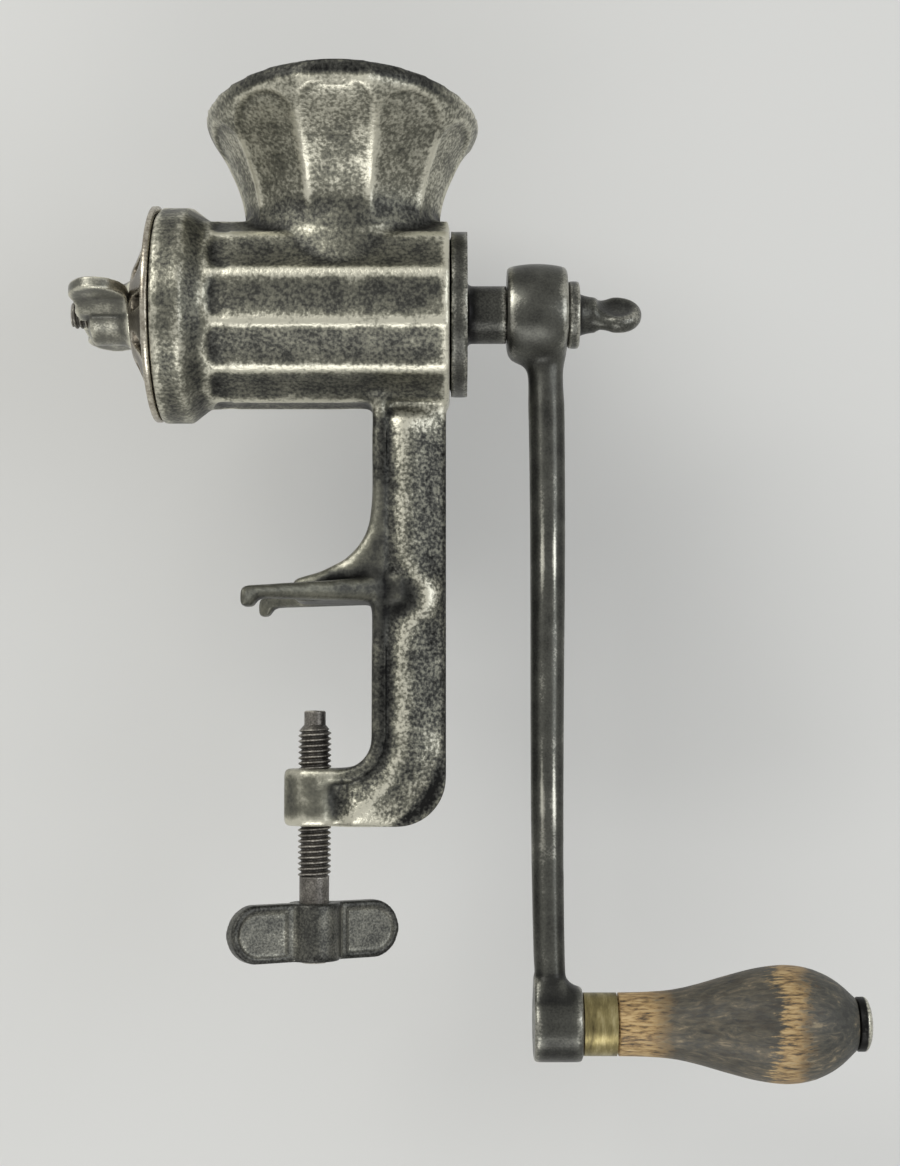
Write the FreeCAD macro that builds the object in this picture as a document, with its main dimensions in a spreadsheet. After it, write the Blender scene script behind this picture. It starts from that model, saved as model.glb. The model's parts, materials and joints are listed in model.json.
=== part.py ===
import FreeCAD, Part
import math
import os
import Sketcher
from FreeCAD import Placement, Rotation, Vector

# Hand crank meat grinder that clamps to a table edge.
# Frame: origin on the clamp screw's axis at the level of the jaw's toes,
# +X along the barrel towards the crank, +Z up. Millimetres and degrees.
SIZES = {
    "axis_height": 87.1,
    "running_gap": 0.3,
    "fit_gap": 0.05,
    "tool_over": 1.0,
    # barrel and its front ring
    "barrel_radius": 27.6,
    "barrel_rear": 38.8,
    "bore_radius": 21.5,
    "ring_front": -44.9,
    "ring_radius": 31.7,
    "ring_width": 8.4,
    "shoulder_length": 5.3,
    "flute_radius": 26.0,
    "flute_depth": 1.4,
    "flute_inset": 6.0,
    "notch_width": 4.0,
    "notch_depth": 5.0,
    "notch_reach": 4.0,
    # hopper, heights counted from the barrel's axis
    "hopper_centre": 7.5,
    "neck_half_length": 28.6,
    "neck_half_width": 22.5,
    "mouth_half_length": 38.9,
    "mouth_half_width": 46.0,
    "neck_rise": 29.0,
    "lip_rise": 52.6,
    "rim_rise": 61.0,
    "rim_sag": 4.6,
    "hopper_wall": 3.3,
    # clamp frame
    "column_inner": 16.6,
    "column_width": 21.2,
    "web_thickness": 13.0,
    "flange_thickness": 3.9,
    "flange_width": 20.0,
    "arm_top": -45.0,
    "arm_depth": 16.6,
    "outer_bend": 14.0,
    "inner_bend": 8.5,
    "boss_inradius": 8.7,
    # jaw fork
    "prong_tip": -18.9,
    "prong_spread": 27.5,
    "prong_width": 8.0,
    "prong_clear": 2.6,
    "prong_height": 5.8,
    "fork_height": 10.5,
    "toe_length": 4.0,
    "jaw_rise": 32.7,
    "jaw_sweep": 35.5,
    # feed screw
    "core_radius": 9.0,
    "flight_gap": 0.5,
    "flight_pitch": 22.0,
    "flight_thickness": 4.0,
    "flight_lead": 2.0,
    "journal_length": 6.0,
    "feed_flange_radius": 24.2,
    "feed_flange_width": 5.0,
    "shank_radius": 8.6,
    "shank_length": 11.5,
    "drive_square": 11.6,
    # cutter, stud and thumb nut
    "cutter_radius": 31.4,
    "cutter_rim": 2.0,
    "cutter_crown": 5.8,
    "cutter_boss_radius": 14.0,
    "slot_inner": 15.5,
    "slot_outer": 27.5,
    "slot_width": 4.2,
    "stud_radius": 4.0,
    "stud_bury": 16.0,
    "stud_proud": 3.7,
    "stud_chamfer": 0.8,
    "nut_hub_radius": 8.8,
    "nut_round": 2.4,
    "nut_base_radius": 10.4,
    "nut_base": 3.0,
    "nut_length": 14.9,
    "nut_span": 49.0,
    "nut_wing": 6.0,
    "nut_turn": 8.0,
    # crank
    "crank_hub_radius": 14.7,
    "crank_hub_length": 17.4,
    "hub_proud": 1.0,
    "crank_throw": 204.9,
    "arm_centre": 67.1,
    "arm_top_width": 10.4,
    "arm_low_width": 8.5,
    "crank_eye_start": 62.9,
    "crank_eye_length": 13.8,
    "crank_eye_radius": 10.5,
    "eye_bury": 3.9,
    # crank thumb screw
    "collar_radius": 9.7,
    "collar_width": 3.3,
    "neck_length": 5.3,
    "neck_wide": 6.0,
    "neck_narrow": 4.6,
    "blade_radius": 7.0,
    "blade_rim": 5.2,
    "blade_sink": 1.0,
    "blade_turn": 44.0,
    "screw_radius": 3.9,
    "screw_reach": 28.0,
    "screw_clear": 2.0,
    # handle
    "bolt_radius": 3.6,
    "bolt_head_radius": 7.7,
    "bolt_head_side": 2.2,
    "bolt_head_dome": 2.2,
    "ferrule_length": 9.4,
    "ferrule_radius": 8.9,
    "ferrule_wall": 1.0,
    "grip_length": 68.2,
    "grip_neck_radius": 8.9,
    "grip_belly_radius": 16.7,
    # clamp screw and its thumb plate
    "clamp_tip": -28.3,
    "dog_radius": 3.1,
    "dog_length": 4.2,
    "cone_length": 1.7,
    "thread_radius": 4.76,
    "thread_pitch": 1.5875,
    "thread_depth": 0.9,
    "thread_length": 41.8,
    "clamp_shank_radius": 4.28,
    "shank_proud": 0.8,
    "thread_runout": 0.5,
    "plate_top": -83.3,
    "plate_height": 16.4,
    "plate_length": 52.8,
    "plate_thickness": 4.6,
    "plate_hub_radius": 7.5,
    "plate_turn": 30.0,
}
FLUTES = 12
NOTCHES = 12
CUTTER_SLOTS = 10
FLARE_POWER = 1.5
FLARE_STEPS = 4
SECTION_POINTS = 24
# stations along the wooden grip and how far it has swelled from neck to belly
GRIP_SWELL = (
    (0.0, 0.0), (0.19, 0.05), (0.36, 0.28), (0.47, 0.6), (0.575, 0.86),
    (0.69, 1.0), (0.79, 0.94), (0.895, 0.58), (0.96, 0.22), (1.0, -0.1),
)
# stations down the jaw's sweep: how far out from the column, and how far up to its top
JAW_SWEEP = ((0.0, 1.0), (0.02, 0.73), (0.06, 0.58), (0.12, 0.46), (0.22, 0.33), (0.42, 0.2), (0.64, 0.12))
# stations down the crank, and how far it bows to the handle's side there
CRANK_STATIONS = ((0.0, -0.4), (0.3, 0.2), (0.65, -0.2), (1.0, 0.6))
# stations over the bolt's domed head: share of its radius, and of the dome's height
BOLT_DOME = ((1.0, 0.0), (0.8, 0.55), (0.45, 0.88), (0.0, 1.0))
# outline of the thumb screw's blade, dished on both faces: shares of its radius and half its thickness
BLADE_EDGE = ((0.0, -0.62), (0.45, -0.7), (0.68, -0.95), (0.78, -1.0), (0.92, -0.75), (1.0, -0.3),
              (1.0, 0.3), (0.92, 0.75), (0.78, 1.0), (0.68, 0.95), (0.45, 0.7), (0.0, 0.62))
# half widths of the thread's groove at its mouth and floor, as shares of the pitch
GROOVE_MOUTH = 0.42
GROOVE_FLOOR = 0.06
ALONG_X = Rotation(Vector(0, 1, 0), 90)
ALONG_Y = Rotation(Vector(1, 0, 0), -90)
OCTAGON_FLATS = Rotation(Vector(0, 0, 1), 22.5)

doc = FreeCAD.newDocument("meat_grinder")
sheet = doc.addObject("Spreadsheet::Sheet", "size")
for row, (alias, value) in enumerate(SIZES.items(), 1):
    sheet.set(f"A{row}", alias)
    sheet.set(f"B{row}", str(value))
    sheet.setAlias(f"B{row}", alias)
doc.recompute()


def place(piece, x="0", y="0", z="0", turn=Rotation()):
    piece.Placement = Placement(Vector(), turn)
    for axis, expression in zip("xyz", (x, y, z)):
        piece.setExpression("Placement.Base." + axis, expression)
    return piece


def primitive(kind, name, sizes, x="0", y="0", z="0", turn=Rotation()):
    piece = doc.addObject(kind, name)
    for prop, expression in sizes.items():
        piece.setExpression(prop, expression)
    return place(piece, x, y, z, turn)


def rod_x(name, radius, start, length, height="size.axis_height"):
    return primitive("Part::Cylinder", name, {"Radius": radius, "Height": length},
                     x=start, z=height, turn=ALONG_X)


def cone_x(name, radius1, radius2, start, length, height="size.axis_height"):
    sizes = {"Radius1": radius1, "Radius2": radius2, "Height": length}
    return primitive("Part::Cone", name, sizes, x=start, z=height, turn=ALONG_X)


def rod_z(name, radius, bottom, length, x="0"):
    return primitive("Part::Cylinder", name, {"Radius": radius, "Height": length}, x=x, z=bottom)


def fuse(name, pieces):
    joined = doc.addObject("Part::MultiFuse", name)
    joined.Shapes = pieces
    joined.Refine = False
    return joined


def cut(name, base, tools):
    tool = tools[0] if len(tools) == 1 else fuse(name + "_tools", tools)
    result = doc.addObject("Part::Cut", name)
    result.Base = base
    result.Tool = tool
    return result


def common(name, base, tool):
    result = doc.addObject("Part::Common", name)
    result.Base = base
    result.Tool = tool
    return result


def loft(name, sections):
    result = doc.addObject("Part::Loft", name)
    result.Sections = sections
    result.Solid = True
    return result


def origin_feature(body, role):
    return next(item for item in body.Origin.OriginFeatures if item.Role == role)


def evaluate(expression):
    return float(sheet.evalExpression(expression))


def outline(body, name, plane, points):
    # closed sketch whose corners are bound to the sheet, one pair of expressions per corner
    sketch = body.newObject("Sketcher::SketchObject", name)
    sketch.AttachmentSupport = [(origin_feature(body, plane), "")]
    sketch.MapMode = "FlatFace"
    corners = [Vector(*map(evaluate, pair), 0) for pair in points]
    last = len(corners) - 1
    for index, corner in enumerate(corners):
        sketch.addGeometry(Part.LineSegment(corner, corners[0 if index == last else index + 1]))
    for index, (corner, pair) in enumerate(zip(corners, points)):
        sketch.addConstraint(Sketcher.Constraint("Coincident", index - 1 if index else last, 2, index, 1))
        for kind, value, expression in zip(("DistanceX", "DistanceY"), corner, pair):
            number = sketch.addConstraint(Sketcher.Constraint(kind, -1, 1, index, 1, value))
            sketch.setExpression(f"Constraints[{number}]", expression)
    return sketch


def plate(name, plane, points, width):
    # flat plate of one outline, as thick to either side of its plane
    body = doc.addObject("PartDesign::Body", name)
    pad = body.newObject("PartDesign::Pad", name + "_pad")
    pad.Profile = outline(body, name + "_outline", plane, points)
    pad.setExpression("Length", width)
    pad.Midplane = True
    return body


def bend(body, corner, radius):
    # rounds the edge across the plate that passes through one corner of its outline
    doc.recompute()
    base = body.Tip
    x, z = map(evaluate, corner)
    edges = [f"Edge{index}" for index, edge in enumerate(base.Shape.Edges, 1)
             if all(abs(v.Point.x - x) < 1e-6 and abs(v.Point.z - z) < 1e-6 for v in edge.Vertexes)]
    fillet = body.newObject("PartDesign::Fillet", body.Name + "_bend")
    fillet.Base = (base, edges)
    fillet.setExpression("Radius", radius)


def helix(body, kind, name, points, pitch, height):
    # profile in the body's XZ plane wound about its Z axis
    turn = body.newObject("PartDesign::" + kind, name)
    turn.Profile = outline(body, name + "_profile", "XZ_Plane", points)
    turn.ReferenceAxis = (origin_feature(body, "Z_Axis"), [""])
    turn.Mode = "pitch-height-angle"
    turn.setExpression("Pitch", pitch)
    turn.setExpression("Height", height)
    return turn


def shaft(name, points):
    # turned piece about its own Z axis, outline given as radius and station
    body = doc.addObject("PartDesign::Body", name)
    spin = body.newObject("PartDesign::Revolution", name + "_turning")
    spin.Profile = outline(body, name + "_outline", "XZ_Plane", points)
    spin.ReferenceAxis = (origin_feature(body, "Z_Axis"), [""])
    return body


def hopper_form(name, inset, floor, top):
    # oval funnel: straight neck, flared wall, upright lip
    wall = {alias: evaluate("size." + alias) for alias in SIZES if alias.startswith(("neck_half", "mouth"))}
    neck_rise = evaluate("size.neck_rise")
    lip_rise = evaluate("size.lip_rise")
    levels = [(floor, 0.0)]
    for step in range(FLARE_STEPS + 1):
        share = step / FLARE_STEPS
        levels.append((neck_rise + share * (lip_rise - neck_rise), share ** FLARE_POWER))
    levels.append((top, 1.0))
    sections = []
    for rise, flare in levels:
        half_x = wall["neck_half_length"] + flare * (wall["mouth_half_length"] - wall["neck_half_length"])
        half_y = wall["neck_half_width"] + flare * (wall["mouth_half_width"] - wall["neck_half_width"])
        angles = [2 * math.pi * index / SECTION_POINTS for index in range(SECTION_POINTS)]
        points = [Vector((half_x - inset) * math.cos(angle), (half_y - inset) * math.sin(angle), rise)
                  for angle in angles]
        curve = Part.BSplineCurve()
        curve.interpolate(Points=points, PeriodicFlag=True)
        sections.append(Part.Wire(curve.toShape()))
    form = doc.addObject("Part::Feature", name)
    form.Shape = Part.makeLoft(sections, True)
    return place(form, "size.hopper_centre", "0", "size.axis_height")


def fluted_form(name, start, end):
    # length of barrel with hollow flutes all round and narrow lands between them
    radius = evaluate("size.barrel_radius")
    hollow = evaluate("size.flute_radius")
    depth = evaluate("size.flute_depth")
    centre = radius + hollow - depth
    half = math.acos((radius ** 2 + centre ** 2 - hollow ** 2) / (2 * radius * centre))
    step = 2 * math.pi / FLUTES
    arcs = []
    for index in range(FLUTES):
        middle = index * step
        for reach, angles in ((radius - depth, (middle - half, middle, middle + half)),
                              (radius, (middle + half, middle + step / 2, middle + step - half))):
            reaches = (radius, reach, radius)
            arcs.append(Part.Arc(*[Vector(0, r * math.cos(angle), r * math.sin(angle))
                                   for r, angle in zip(reaches, angles)]).toShape())
    form = doc.addObject("Part::Feature", name)
    form.Shape = Part.Face(Part.Wire(arcs)).extrude(Vector(evaluate(f"{end} - ({start})"), 0, 0))
    return place(form, start, "0", "size.axis_height")


def barrel():
    start = "size.ring_front + size.ring_width + size.shoulder_length + size.flute_inset"
    tube = rod_x("barrel_tube", "size.barrel_radius", "size.ring_front", f"{start} - size.ring_front")
    fluted = fluted_form("fluted_barrel", start, "size.barrel_rear")
    ring = rod_x("front_ring", "size.ring_radius", "size.ring_front", "size.ring_width")
    shoulder = cone_x("ring_shoulder", "size.ring_radius", "size.barrel_radius",
                      "size.ring_front + size.ring_width", "size.shoulder_length")
    return [tube, fluted, ring, shoulder]


def hopper():
    outer = hopper_form("hopper_outer", 0.0, 0.0, evaluate("size.rim_rise + size.tool_over"))
    arch = "(size.mouth_half_length ^ 2 + size.rim_sag ^ 2) / (2 * size.rim_sag)"
    sizes = {"Radius": arch, "Height": "2 * size.mouth_half_width + 2 * size.tool_over"}
    rim = primitive("Part::Cylinder", "rim_arch", sizes, x="size.hopper_centre",
                    y="-size.mouth_half_width - size.tool_over", turn=ALONG_Y,
                    z=f"size.axis_height + size.rim_rise - {arch}")
    return common("hopper_wall_form", outer, rim)


def clamp_frame():
    outer = "size.column_inner + size.column_width"
    low = "size.arm_top - size.arm_depth"
    top = "size.axis_height - size.bore_radius - size.running_gap"
    strip = "size.column_inner + size.flange_thickness"
    under = "size.arm_top - size.flange_thickness"
    web = plate("frame_web", "XZ_Plane", [("0", low), (outer, low), (outer, top), ("size.column_inner", top),
                                          ("size.column_inner", "size.arm_top"), ("0", "size.arm_top")],
                "size.web_thickness")
    bend(web, (outer, low), "size.outer_bend")
    bend(web, ("size.column_inner", "size.arm_top"), "size.inner_bend")
    flange = plate("frame_flange", "XZ_Plane", [
        ("0", under), (strip, under), (strip, top), ("size.column_inner", top),
        ("size.column_inner", "size.arm_top"), ("0", "size.arm_top")], "size.flange_width")
    bend(flange, (strip, under), "size.inner_bend + size.flange_thickness")
    bend(flange, ("size.column_inner", "size.arm_top"), "size.inner_bend")
    sizes = {"Circumradius": "size.boss_inradius / cos(22.5)", "Height": "size.arm_depth"}
    boss = primitive("Part::Prism", "clamp_boss", sizes, z=low, turn=OCTAGON_FLATS)
    boss.Polygon = 8
    return [web, flange, boss]


def jaw():
    # low fork with spreading prongs, under a rib that sweeps up into the column's flange
    root = "size.column_inner + size.column_width / 2"
    toe = "size.prong_tip + size.toe_length"
    profile = plate("fork_profile", "XZ_Plane", [
        ("size.prong_tip", "0"), (toe, "0"), (toe, "size.prong_clear"), (root, "size.prong_clear"),
        (root, "size.fork_height"), ("size.prong_tip", "size.prong_height")],
        "2 * size.prong_spread + 2 * size.prong_width")
    inner = "size.prong_spread - size.prong_width / 2"
    outer = "size.prong_spread + size.prong_width / 2"
    crotch = "size.prong_width / 4"
    side = "size.web_thickness / 2"
    plan = plate("fork_plan", "XY_Plane", [
        ("size.prong_tip", outer), ("size.prong_tip", inner), ("size.column_inner", crotch),
        ("size.column_inner", f"-{crotch}"), ("size.prong_tip", f"-({inner})"),
        ("size.prong_tip", f"-({outer})"), (root, f"-{side}"), (root, side)], "4 * size.fork_height")
    fork = common("jaw_fork", profile, plan)
    inside = "size.column_inner + size.flange_thickness"
    points = [(inside, "size.prong_clear"), (inside, "size.jaw_rise")]
    for share, lift in JAW_SWEEP:
        points.append((f"size.column_inner - {share} * size.jaw_sweep",
                       f"size.prong_height + {lift} * (size.jaw_rise - size.prong_height)"))
    points.append((points[-1][0], "size.prong_clear"))
    return [fork, plate("jaw_rib", "XZ_Plane", points, "size.flange_width")]


def body_casting():
    solid = fuse("casting_form", barrel() + [hopper()] + clamp_frame() + jaw())
    bore = rod_x("barrel_bore", "size.bore_radius", "size.ring_front - size.tool_over",
                 "size.barrel_rear - size.ring_front + 2 * size.tool_over")
    hollow = hopper_form("hopper_hollow", evaluate("size.hopper_wall"), 0.0,
                         evaluate("size.rim_rise + 2 * size.tool_over"))
    hole = rod_z("clamp_hole", "size.thread_radius + size.fit_gap",
                 "size.arm_top - size.arm_depth - size.tool_over", "size.arm_depth + 2 * size.tool_over")
    notches = []
    for index in range(NOTCHES):
        angle = index * 360 / NOTCHES
        sizes = {"Length": "size.notch_depth + size.tool_over", "Width": "size.notch_width",
                 "Height": "size.bore_radius + size.notch_reach"}
        notches.append(primitive("Part::Box", f"ring_notch_{index}", sizes,
                                 x="size.ring_front - size.tool_over",
                                 y=f"-size.notch_width / 2 * cos({angle})",
                                 z=f"size.axis_height - size.notch_width / 2 * sin({angle})",
                                 turn=Rotation(Vector(1, 0, 0), angle)))
    return cut("body_casting", solid, [bore, hollow, hole] + notches)


def feed_screw():
    # built about Z, front end down, then laid along the barrel
    body = doc.addObject("PartDesign::Body", "screw_core")
    spin = body.newObject("PartDesign::Revolution", "screw_turning")
    front = "size.ring_front"
    rear = "size.barrel_rear + size.running_gap"
    journal = "size.bore_radius - size.fit_gap"
    flange = rear + " + size.feed_flange_width"
    shank = flange + " + size.shank_length"
    spin.Profile = outline(body, "screw_outline", "XZ_Plane", [
        ("0", front), ("size.core_radius", front), ("size.core_radius", rear + " - size.journal_length"),
        (journal, rear + " - size.journal_length"), (journal, rear), ("size.feed_flange_radius", rear),
        ("size.feed_flange_radius", flange), ("size.shank_radius", flange), ("size.shank_radius", shank),
        ("0", shank)])
    spin.ReferenceAxis = (origin_feature(body, "Z_Axis"), [""])
    start = "size.ring_front + size.flight_lead"
    tip = "size.bore_radius - size.flight_gap"
    root = "size.core_radius - size.tool_over"
    helix(body, "AdditiveHelix", "flight", [
        (root, start), (tip, start), (tip, start + " + size.flight_thickness"),
        (root, start + " + size.flight_thickness")], "size.flight_pitch",
        rear + " - size.journal_length - size.flight_thickness - (" + start + ")")
    place(body, z="size.axis_height", turn=ALONG_X)
    half = "size.drive_square / 2"
    reach = "(size.running_gap + size.cutter_rim + size.cutter_crown / 2)"
    front_square = primitive("Part::Box", "cutter_square", {
        "Length": reach, "Width": "size.drive_square", "Height": "size.drive_square"},
        x=f"{front} - {reach}", y="-" + half, z="size.axis_height - " + half)
    rear_square = primitive("Part::Box", "crank_square", {
        "Length": "size.crank_hub_length - size.hub_proud", "Width": "size.drive_square",
        "Height": "size.drive_square"}, x=shank, y="-" + half, z="size.axis_height - " + half)
    solid = fuse("screw_form", [body, front_square, rear_square])
    stud_hole = rod_x("stud_hole", "size.stud_radius + size.fit_gap", f"{front} - {reach} - size.tool_over",
                      f"{reach} + size.tool_over + size.stud_bury")
    thumb_hole = rod_x("thumb_hole", "size.screw_radius + size.fit_gap",
                       hub_end() + " + size.running_gap - size.screw_reach",
                       "size.screw_reach + size.tool_over")
    return cut("feed_screw", solid, [stud_hole, thumb_hole])


def hub_start():
    return ("size.barrel_rear + size.running_gap + size.feed_flange_width + size.shank_length")


def hub_end():
    return hub_start() + " + size.crank_hub_length"


def cutter_face():
    return "size.ring_front - size.running_gap - size.cutter_rim - size.cutter_crown"


def cutter_stud():
    end = f"{cutter_face()} - size.nut_length - size.stud_proud"
    root = "size.ring_front + size.stud_bury - size.running_gap"
    body = shaft("stud_rod", [("0", end), ("size.stud_radius - size.stud_chamfer", end),
                              ("size.stud_radius", end + " + size.stud_chamfer"),
                              ("size.stud_radius", root), ("0", root)])
    place(body, z="size.axis_height", turn=ALONG_X)
    body.Label = "cutter_stud"
    return body


def cutter_disc():
    rear = "size.ring_front - size.running_gap"
    rim = rear + " - size.cutter_rim"
    face = cutter_face()
    body = shaft("cutter_blank", [
        ("0", rear), ("size.cutter_radius", rear), ("size.cutter_radius", rim),
        ("size.cutter_boss_radius", face), ("0", face)])
    depth = "size.cutter_rim + size.cutter_crown + 2 * size.tool_over"
    start = face + " - size.tool_over"
    place(body, z="size.axis_height", turn=ALONG_X)
    tools = [primitive("Part::Box", "cutter_eye", {
        "Length": depth, "Width": "size.drive_square + 2 * size.fit_gap",
        "Height": "size.drive_square + 2 * size.fit_gap"}, x=start,
        y="-size.drive_square / 2 - size.fit_gap",
        z="size.axis_height - size.drive_square / 2 - size.fit_gap")]
    for index in range(CUTTER_SLOTS):
        angle = (index + 0.5) * 360 / CUTTER_SLOTS
        turn = Rotation(Vector(1, 0, 0), angle)
        sizes = {"Length": depth, "Width": "size.slot_width",
                 "Height": "size.slot_outer - size.slot_inner"}
        y = f"-size.slot_width / 2 * cos({angle}) - size.slot_inner * sin({angle})"
        z = f"size.axis_height - size.slot_width / 2 * sin({angle}) + size.slot_inner * cos({angle})"
        tools.append(primitive("Part::Box", f"cutter_slot_{index}", sizes, start, y, z, turn))
    return cut("cutter_disc", body, tools)


def cutter_nut():
    # round-nosed hub with a coned foot and two thick wings that reach on past its nose, square to the barrel
    seat = f"({cutter_face()} - size.running_gap)"
    hub = rod_x("nut_hub", "size.nut_hub_radius", f"{seat} - size.nut_length + size.nut_round",
                "size.nut_length - size.nut_round")
    nose = cone_x("nut_nose", "size.nut_hub_radius - size.nut_round", "size.nut_hub_radius",
                  f"{seat} - size.nut_length", "size.nut_round")
    foot = cone_x("nut_foot", "size.nut_hub_radius", "size.nut_base_radius", f"{seat} - size.nut_base",
                  "size.nut_base")
    reach = "(size.nut_length + size.stud_proud - size.running_gap)"
    blank = wing("nut_wings", "size.nut_span", reach, "size.nut_wing")
    place(blank, f"{seat} - {reach} / 2", "0", "size.axis_height",
          Rotation(Vector(1, 0, 0), -evaluate("size.nut_turn")))
    bore = rod_x("nut_bore", "size.stud_radius + size.fit_gap", f"{seat} - {reach} - size.tool_over",
                 f"{reach} + 2 * size.tool_over")
    return cut("cutter_nut", fuse("nut_form", [hub, nose, foot, blank]), [bore])


def wing(name, span, depth, thickness):
    # flat bar along Y with round ends, depth along X
    bar = primitive("Part::Box", name + "_bar", {"Length": depth, "Width": f"{span} - ({depth})",
                                                 "Height": thickness}, x=f"-({depth}) / 2",
                    y=f"-({span} - ({depth})) / 2", z=f"-({thickness}) / 2")
    ends = []
    for side, sign in (("near", "-"), ("far", "")):
        ends.append(primitive("Part::Cylinder", f"{name}_{side}", {
            "Radius": f"({depth}) / 2", "Height": thickness},
            y=f"{sign}({span} - ({depth})) / 2", z=f"-({thickness}) / 2"))
    return fuse(name, [bar] + ends)


def crank_arm():
    hub = rod_x("crank_hub", "size.crank_hub_radius", hub_start(), "size.crank_hub_length")
    eye_height = "size.axis_height - size.crank_throw"
    eye = rod_x("crank_eye", "size.crank_eye_radius", "size.crank_eye_start", "size.crank_eye_length",
                eye_height)
    sections = []
    for index, (share, bow) in enumerate(CRANK_STATIONS):
        width = f"(size.arm_top_width + {share} * (size.arm_low_width - size.arm_top_width))"
        level = (f"size.axis_height - size.drive_square"
                 f" - {share} * (size.crank_throw - size.drive_square - size.crank_eye_radius"
                 " + size.eye_bury)")
        section = primitive("Part::RegularPolygon", f"arm_section_{index}", {
            "Circumradius": f"{width} / 2 / cos(22.5)"}, x=f"size.arm_centre + {bow}", z=level,
            turn=OCTAGON_FLATS)
        section.Polygon = 8
        sections.append(section)
    solid = fuse("crank_form", [hub, eye, loft("crank_bar", sections)])
    square = primitive("Part::Box", "crank_socket", {
        "Length": "size.crank_hub_length + 2 * size.tool_over",
        "Width": "size.drive_square + 2 * size.fit_gap",
        "Height": "size.drive_square + 2 * size.fit_gap"}, x=hub_start() + " - size.tool_over",
        y="-size.drive_square / 2 - size.fit_gap",
        z="size.axis_height - size.drive_square / 2 - size.fit_gap")
    hole = rod_x("crank_bolt_hole", "size.bolt_radius + size.fit_gap",
                 "size.crank_eye_start - size.tool_over", "size.crank_eye_length + 2 * size.tool_over",
                 eye_height)
    return cut("crank_arm", solid, [square, hole])


def crank_thumb_screw():
    seat = f"({hub_end()} + size.running_gap)"
    collar = rod_x("thumb_collar", "size.collar_radius", seat, "size.collar_width")
    neck = cone_x("thumb_neck", "size.neck_wide", "size.neck_narrow", f"{seat} + size.collar_width",
                  "size.neck_length")
    thread = rod_x("thumb_thread", "size.screw_radius", f"{seat} - size.screw_reach + size.screw_clear",
                   "size.screw_reach - size.screw_clear + size.tool_over")
    centre = (f"{seat} + size.collar_width + size.neck_length + size.blade_radius"
              " - size.blade_sink")
    turn = Rotation(Vector(1, 0, 0), evaluate("size.blade_turn"))
    points = [(f"{share} * size.blade_radius", f"{level} * size.blade_rim / 2")
              for share, level in BLADE_EDGE]
    blade = place(shaft("thumb_blade", points), centre, "0", "size.axis_height", turn)
    return fuse("crank_thumb_screw", [collar, neck, thread, blade])


def handle_axis():
    return "size.axis_height - size.crank_throw"


def ferrule_start():
    return "size.crank_eye_start + size.crank_eye_length + size.running_gap"


def grip_start():
    return ferrule_start() + " + size.ferrule_length"


def grip_end():
    return grip_start() + " + size.grip_length"


def handle_grip():
    sections = []
    for index, (station, swell) in enumerate(GRIP_SWELL):
        radius = f"size.grip_neck_radius + {swell} * (size.grip_belly_radius - size.grip_neck_radius)"
        sections.append(primitive("Part::Circle", f"grip_section_{index}", {"Radius": radius},
                                  x=f"{grip_start()} + {station} * size.grip_length", z=handle_axis(),
                                  turn=ALONG_X))
    tenon = rod_x("grip_tenon", "size.ferrule_radius - size.ferrule_wall", ferrule_start(),
                  "size.ferrule_length + size.tool_over", handle_axis())
    bore = rod_x("grip_bore", "size.bolt_radius + size.fit_gap", ferrule_start() + " - size.tool_over",
                 "size.ferrule_length + size.grip_length + 2 * size.tool_over", handle_axis())
    return cut("handle_grip", fuse("grip_form", [loft("grip_turning", sections), tenon]), [bore])


def handle_ferrule():
    band = rod_x("ferrule_band", "size.ferrule_radius", ferrule_start(), "size.ferrule_length",
                 handle_axis())
    bore = rod_x("ferrule_bore", "size.ferrule_radius - size.ferrule_wall",
                 ferrule_start() + " - size.tool_over", "size.ferrule_length + 2 * size.tool_over",
                 handle_axis())
    return cut("handle_ferrule", band, [bore])


def handle_bolt():
    seat = f"({grip_end()} + size.running_gap)"
    points = [("0", "size.crank_eye_start"), ("size.bolt_radius", "size.crank_eye_start"),
              ("size.bolt_radius", seat), ("size.bolt_head_radius", seat)]
    for share, lift in BOLT_DOME:
        points.append((f"{share} * size.bolt_head_radius",
                       f"{seat} + size.bolt_head_side + {lift} * size.bolt_head_dome"))
    body = shaft("bolt_turning", points)
    place(body, z=handle_axis(), turn=ALONG_X)
    body.Label = "handle_bolt"
    return body


def clamp_screw():
    tip = "size.clamp_tip"
    cone = "size.clamp_tip - size.dog_length"
    thread_top = cone + " - size.cone_length"
    thread_end = thread_top + " - size.thread_length"
    foot = "size.plate_top - size.plate_height - size.shank_proud"
    body = shaft("clamp_rod", [
        ("0", foot), ("size.clamp_shank_radius", foot), ("size.clamp_shank_radius", thread_end),
        ("size.thread_radius", thread_end + " + size.thread_runout"), ("size.thread_radius", thread_top),
        ("size.dog_radius", cone), ("size.dog_radius", tip), ("0", tip)])
    crest = "size.thread_radius + size.running_gap"
    root = "size.thread_radius - size.thread_depth"
    start = thread_end + " + size.thread_pitch"
    helix(body, "SubtractiveHelix", "clamp_thread", [
        (crest, f"{start} - {GROOVE_MOUTH} * size.thread_pitch"),
        (crest, f"{start} + {GROOVE_MOUTH} * size.thread_pitch"),
        (root, f"{start} + {GROOVE_FLOOR} * size.thread_pitch"),
        (root, f"{start} - {GROOVE_FLOOR} * size.thread_pitch")],
        "size.thread_pitch", "size.thread_length")
    body.Label = "clamp_screw"
    return body


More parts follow.
